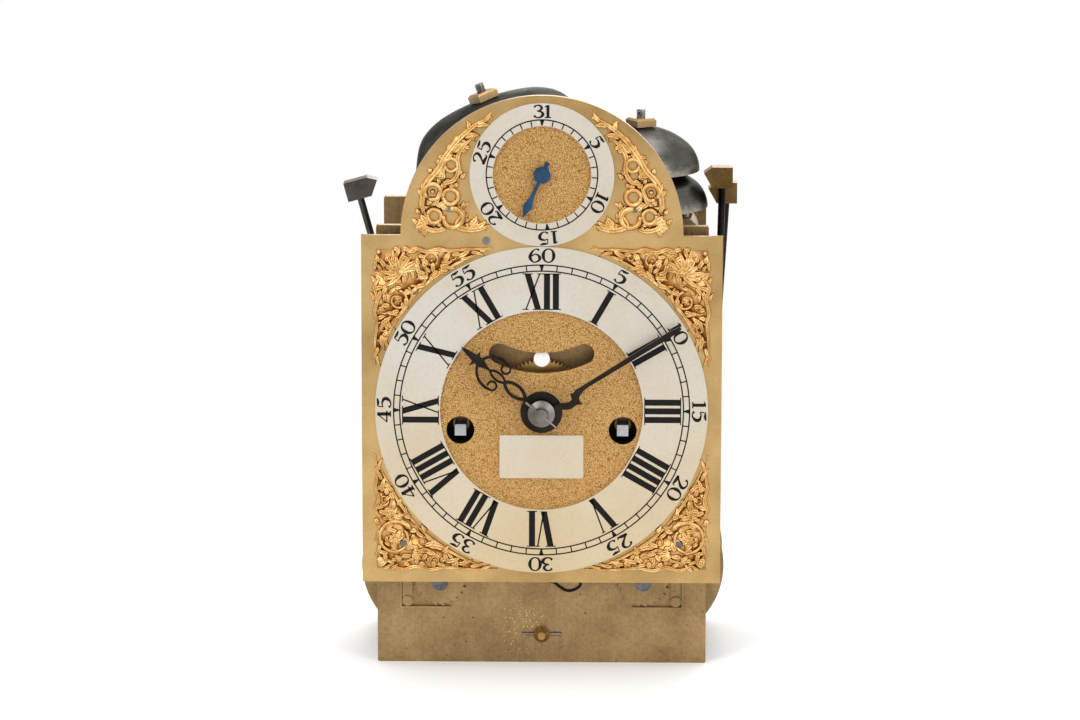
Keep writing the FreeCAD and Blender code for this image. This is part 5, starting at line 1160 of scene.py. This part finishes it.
# Bent wire spring under the dial: places on the front plate
wire_r = 0.55 * mm
wire_sides = 10
wire_steps = 8
wire_points = [(1.6, 38.9), (2.8, 36.1), (5.3, 35.3), (8.2, 33.1), (11.1, 31.7), (14.4, 32.3), (16.6, 34.3),
               (16.0, 36.2), (13.5, 37.8)]


def wire_form(made):
    """Round wire along a smooth run, lying on the plate."""
    path = smooth_run([(x * mm, z * mm) for x, z in wire_points], wire_steps)
    turns = [2 * math.pi * k / wire_sides for k in range(wire_sides)]
    section = [(wire_r * math.cos(turn), wire_r * math.sin(turn)) for turn in turns]
    y = plate_low.y - wire_r
    rows = []
    for n, (x, z) in enumerate(path):
        nx, nz = side_at(path, n)
        rows.append([made.verts.new((x + nx * off, y + out, z + nz * off)) for off, out in section])
    join_rows(made, rows)


bell_maker = on_studs(bell_form, hour_stud)
nut_maker = on_studs(nut_form, hour_stud, quarter_stud)
thread_maker = on_studs(thread_form, hour_stud, quarter_stud)
stand_ins = (("hour_bell_crown", bell_maker, bronze, "hour_bell", "bell_metal"),
             ("bell_nut_pair", nut_maker, brass, "bell_nuts", "plate_brass"),
             ("bent_wire_spring", wire_form, dark_steel, "wire_spring", "dark_steel"))
for name, maker, finish, node, slot in stand_ins:
    made_piece = piece(name, maker, finish, "frame")
    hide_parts(node)
    for face in made_piece.data.polygons:
        face.use_smooth = name != "bell_nut_pair"
piece("stud_threads", thread_maker, steel, "frame")

piece("chapter_track", chapter_track, wax)
piece("chapter_figures", chapter_figures, wax)
piece("date_figures", date_marks, wax)

# Camera: the photograph looks a little down on the dial, from a long way off
camera_elevation = 11.3
camera_azimuth = 0.9
camera_distance = 2.2
camera_lens = 173.4
camera_roll = 0.1
aim = Vector((-0.7 * mm, dial_y, 135.2 * mm))

# Stage: the floor's half width, the even light of the world, and lamps by place, target, size and power
floor_reach = 6.0
world_light = 0.55
lamps = [("key", (-0.9, -1.3, 1.1), (0, 0, 0.13), 0.9, 14), ("fill", (1.1, -1.2, 0.7), (0, 0, 0.13), 1.0, 9),
         ("top", (0, 0.2, 1.4), (0, 0, 0.15), 1.2, 12), ("back", (0.3, 1.4, 0.8), (0, 0, 0.15), 1.0, 8)]


def make_camera():
    """Camera at the photograph's angle."""
    data = bpy.data.cameras.new("camera")
    data.lens = camera_lens
    data.clip_end = 100
    thing = placed("camera", data)
    a, e = math.radians(camera_azimuth), math.radians(camera_elevation)
    back = Vector((math.sin(a) * math.cos(e), -math.cos(a) * math.cos(e), math.sin(e)))
    thing.location = aim + back * camera_distance
    turn = (-back).to_track_quat("-Z", "Y").to_matrix().to_4x4()
    thing.rotation_euler = (turn @ Matrix.Rotation(math.radians(camera_roll), 4, "Z")).to_euler()
    scene.camera = thing


def area_light(name, place, target, size, power):
    """Soft square lamp."""
    data = bpy.data.lights.new(name, "AREA")
    data.size = size
    data.energy = power
    thing = placed(name, data)
    thing.location = place
    thing.rotation_euler = (Vector(target) - Vector(place)).to_track_quat("-Z", "Y").to_euler()


def make_stage():
    """Pale floor, even world light and soft lamps."""
    floor = bpy.data.meshes.new("floor")
    corners = [(x * floor_reach, y * floor_reach, 0) for x, y in ((-1, -1), (1, -1), (1, 1), (-1, 1))]
    floor.from_pydata(corners, [], [(0, 1, 2, 3)])
    floor.materials.append(pale_floor())
    thing = placed("floor", floor)
    thing.location.z = plate_low.z
    world = bpy.data.worlds.new("world")
    world.use_nodes = True
    tree = world.node_tree
    ground = tree.nodes["Background"]
    white = tree.nodes.new("ShaderNodeBackground")
    for light, strength in ((ground, world_light), (white, 1.0)):
        light.inputs["Color"].default_value = grey(1.0)
        light.inputs["Strength"].default_value = strength
    mix_shaders(tree, seen_rays(tree), ground, white, "World Output")
    scene.world = world
    for lamp in lamps:
        area_light(*lamp)


make_camera()
make_stage()
scene.view_settings.view_transform = "Standard"
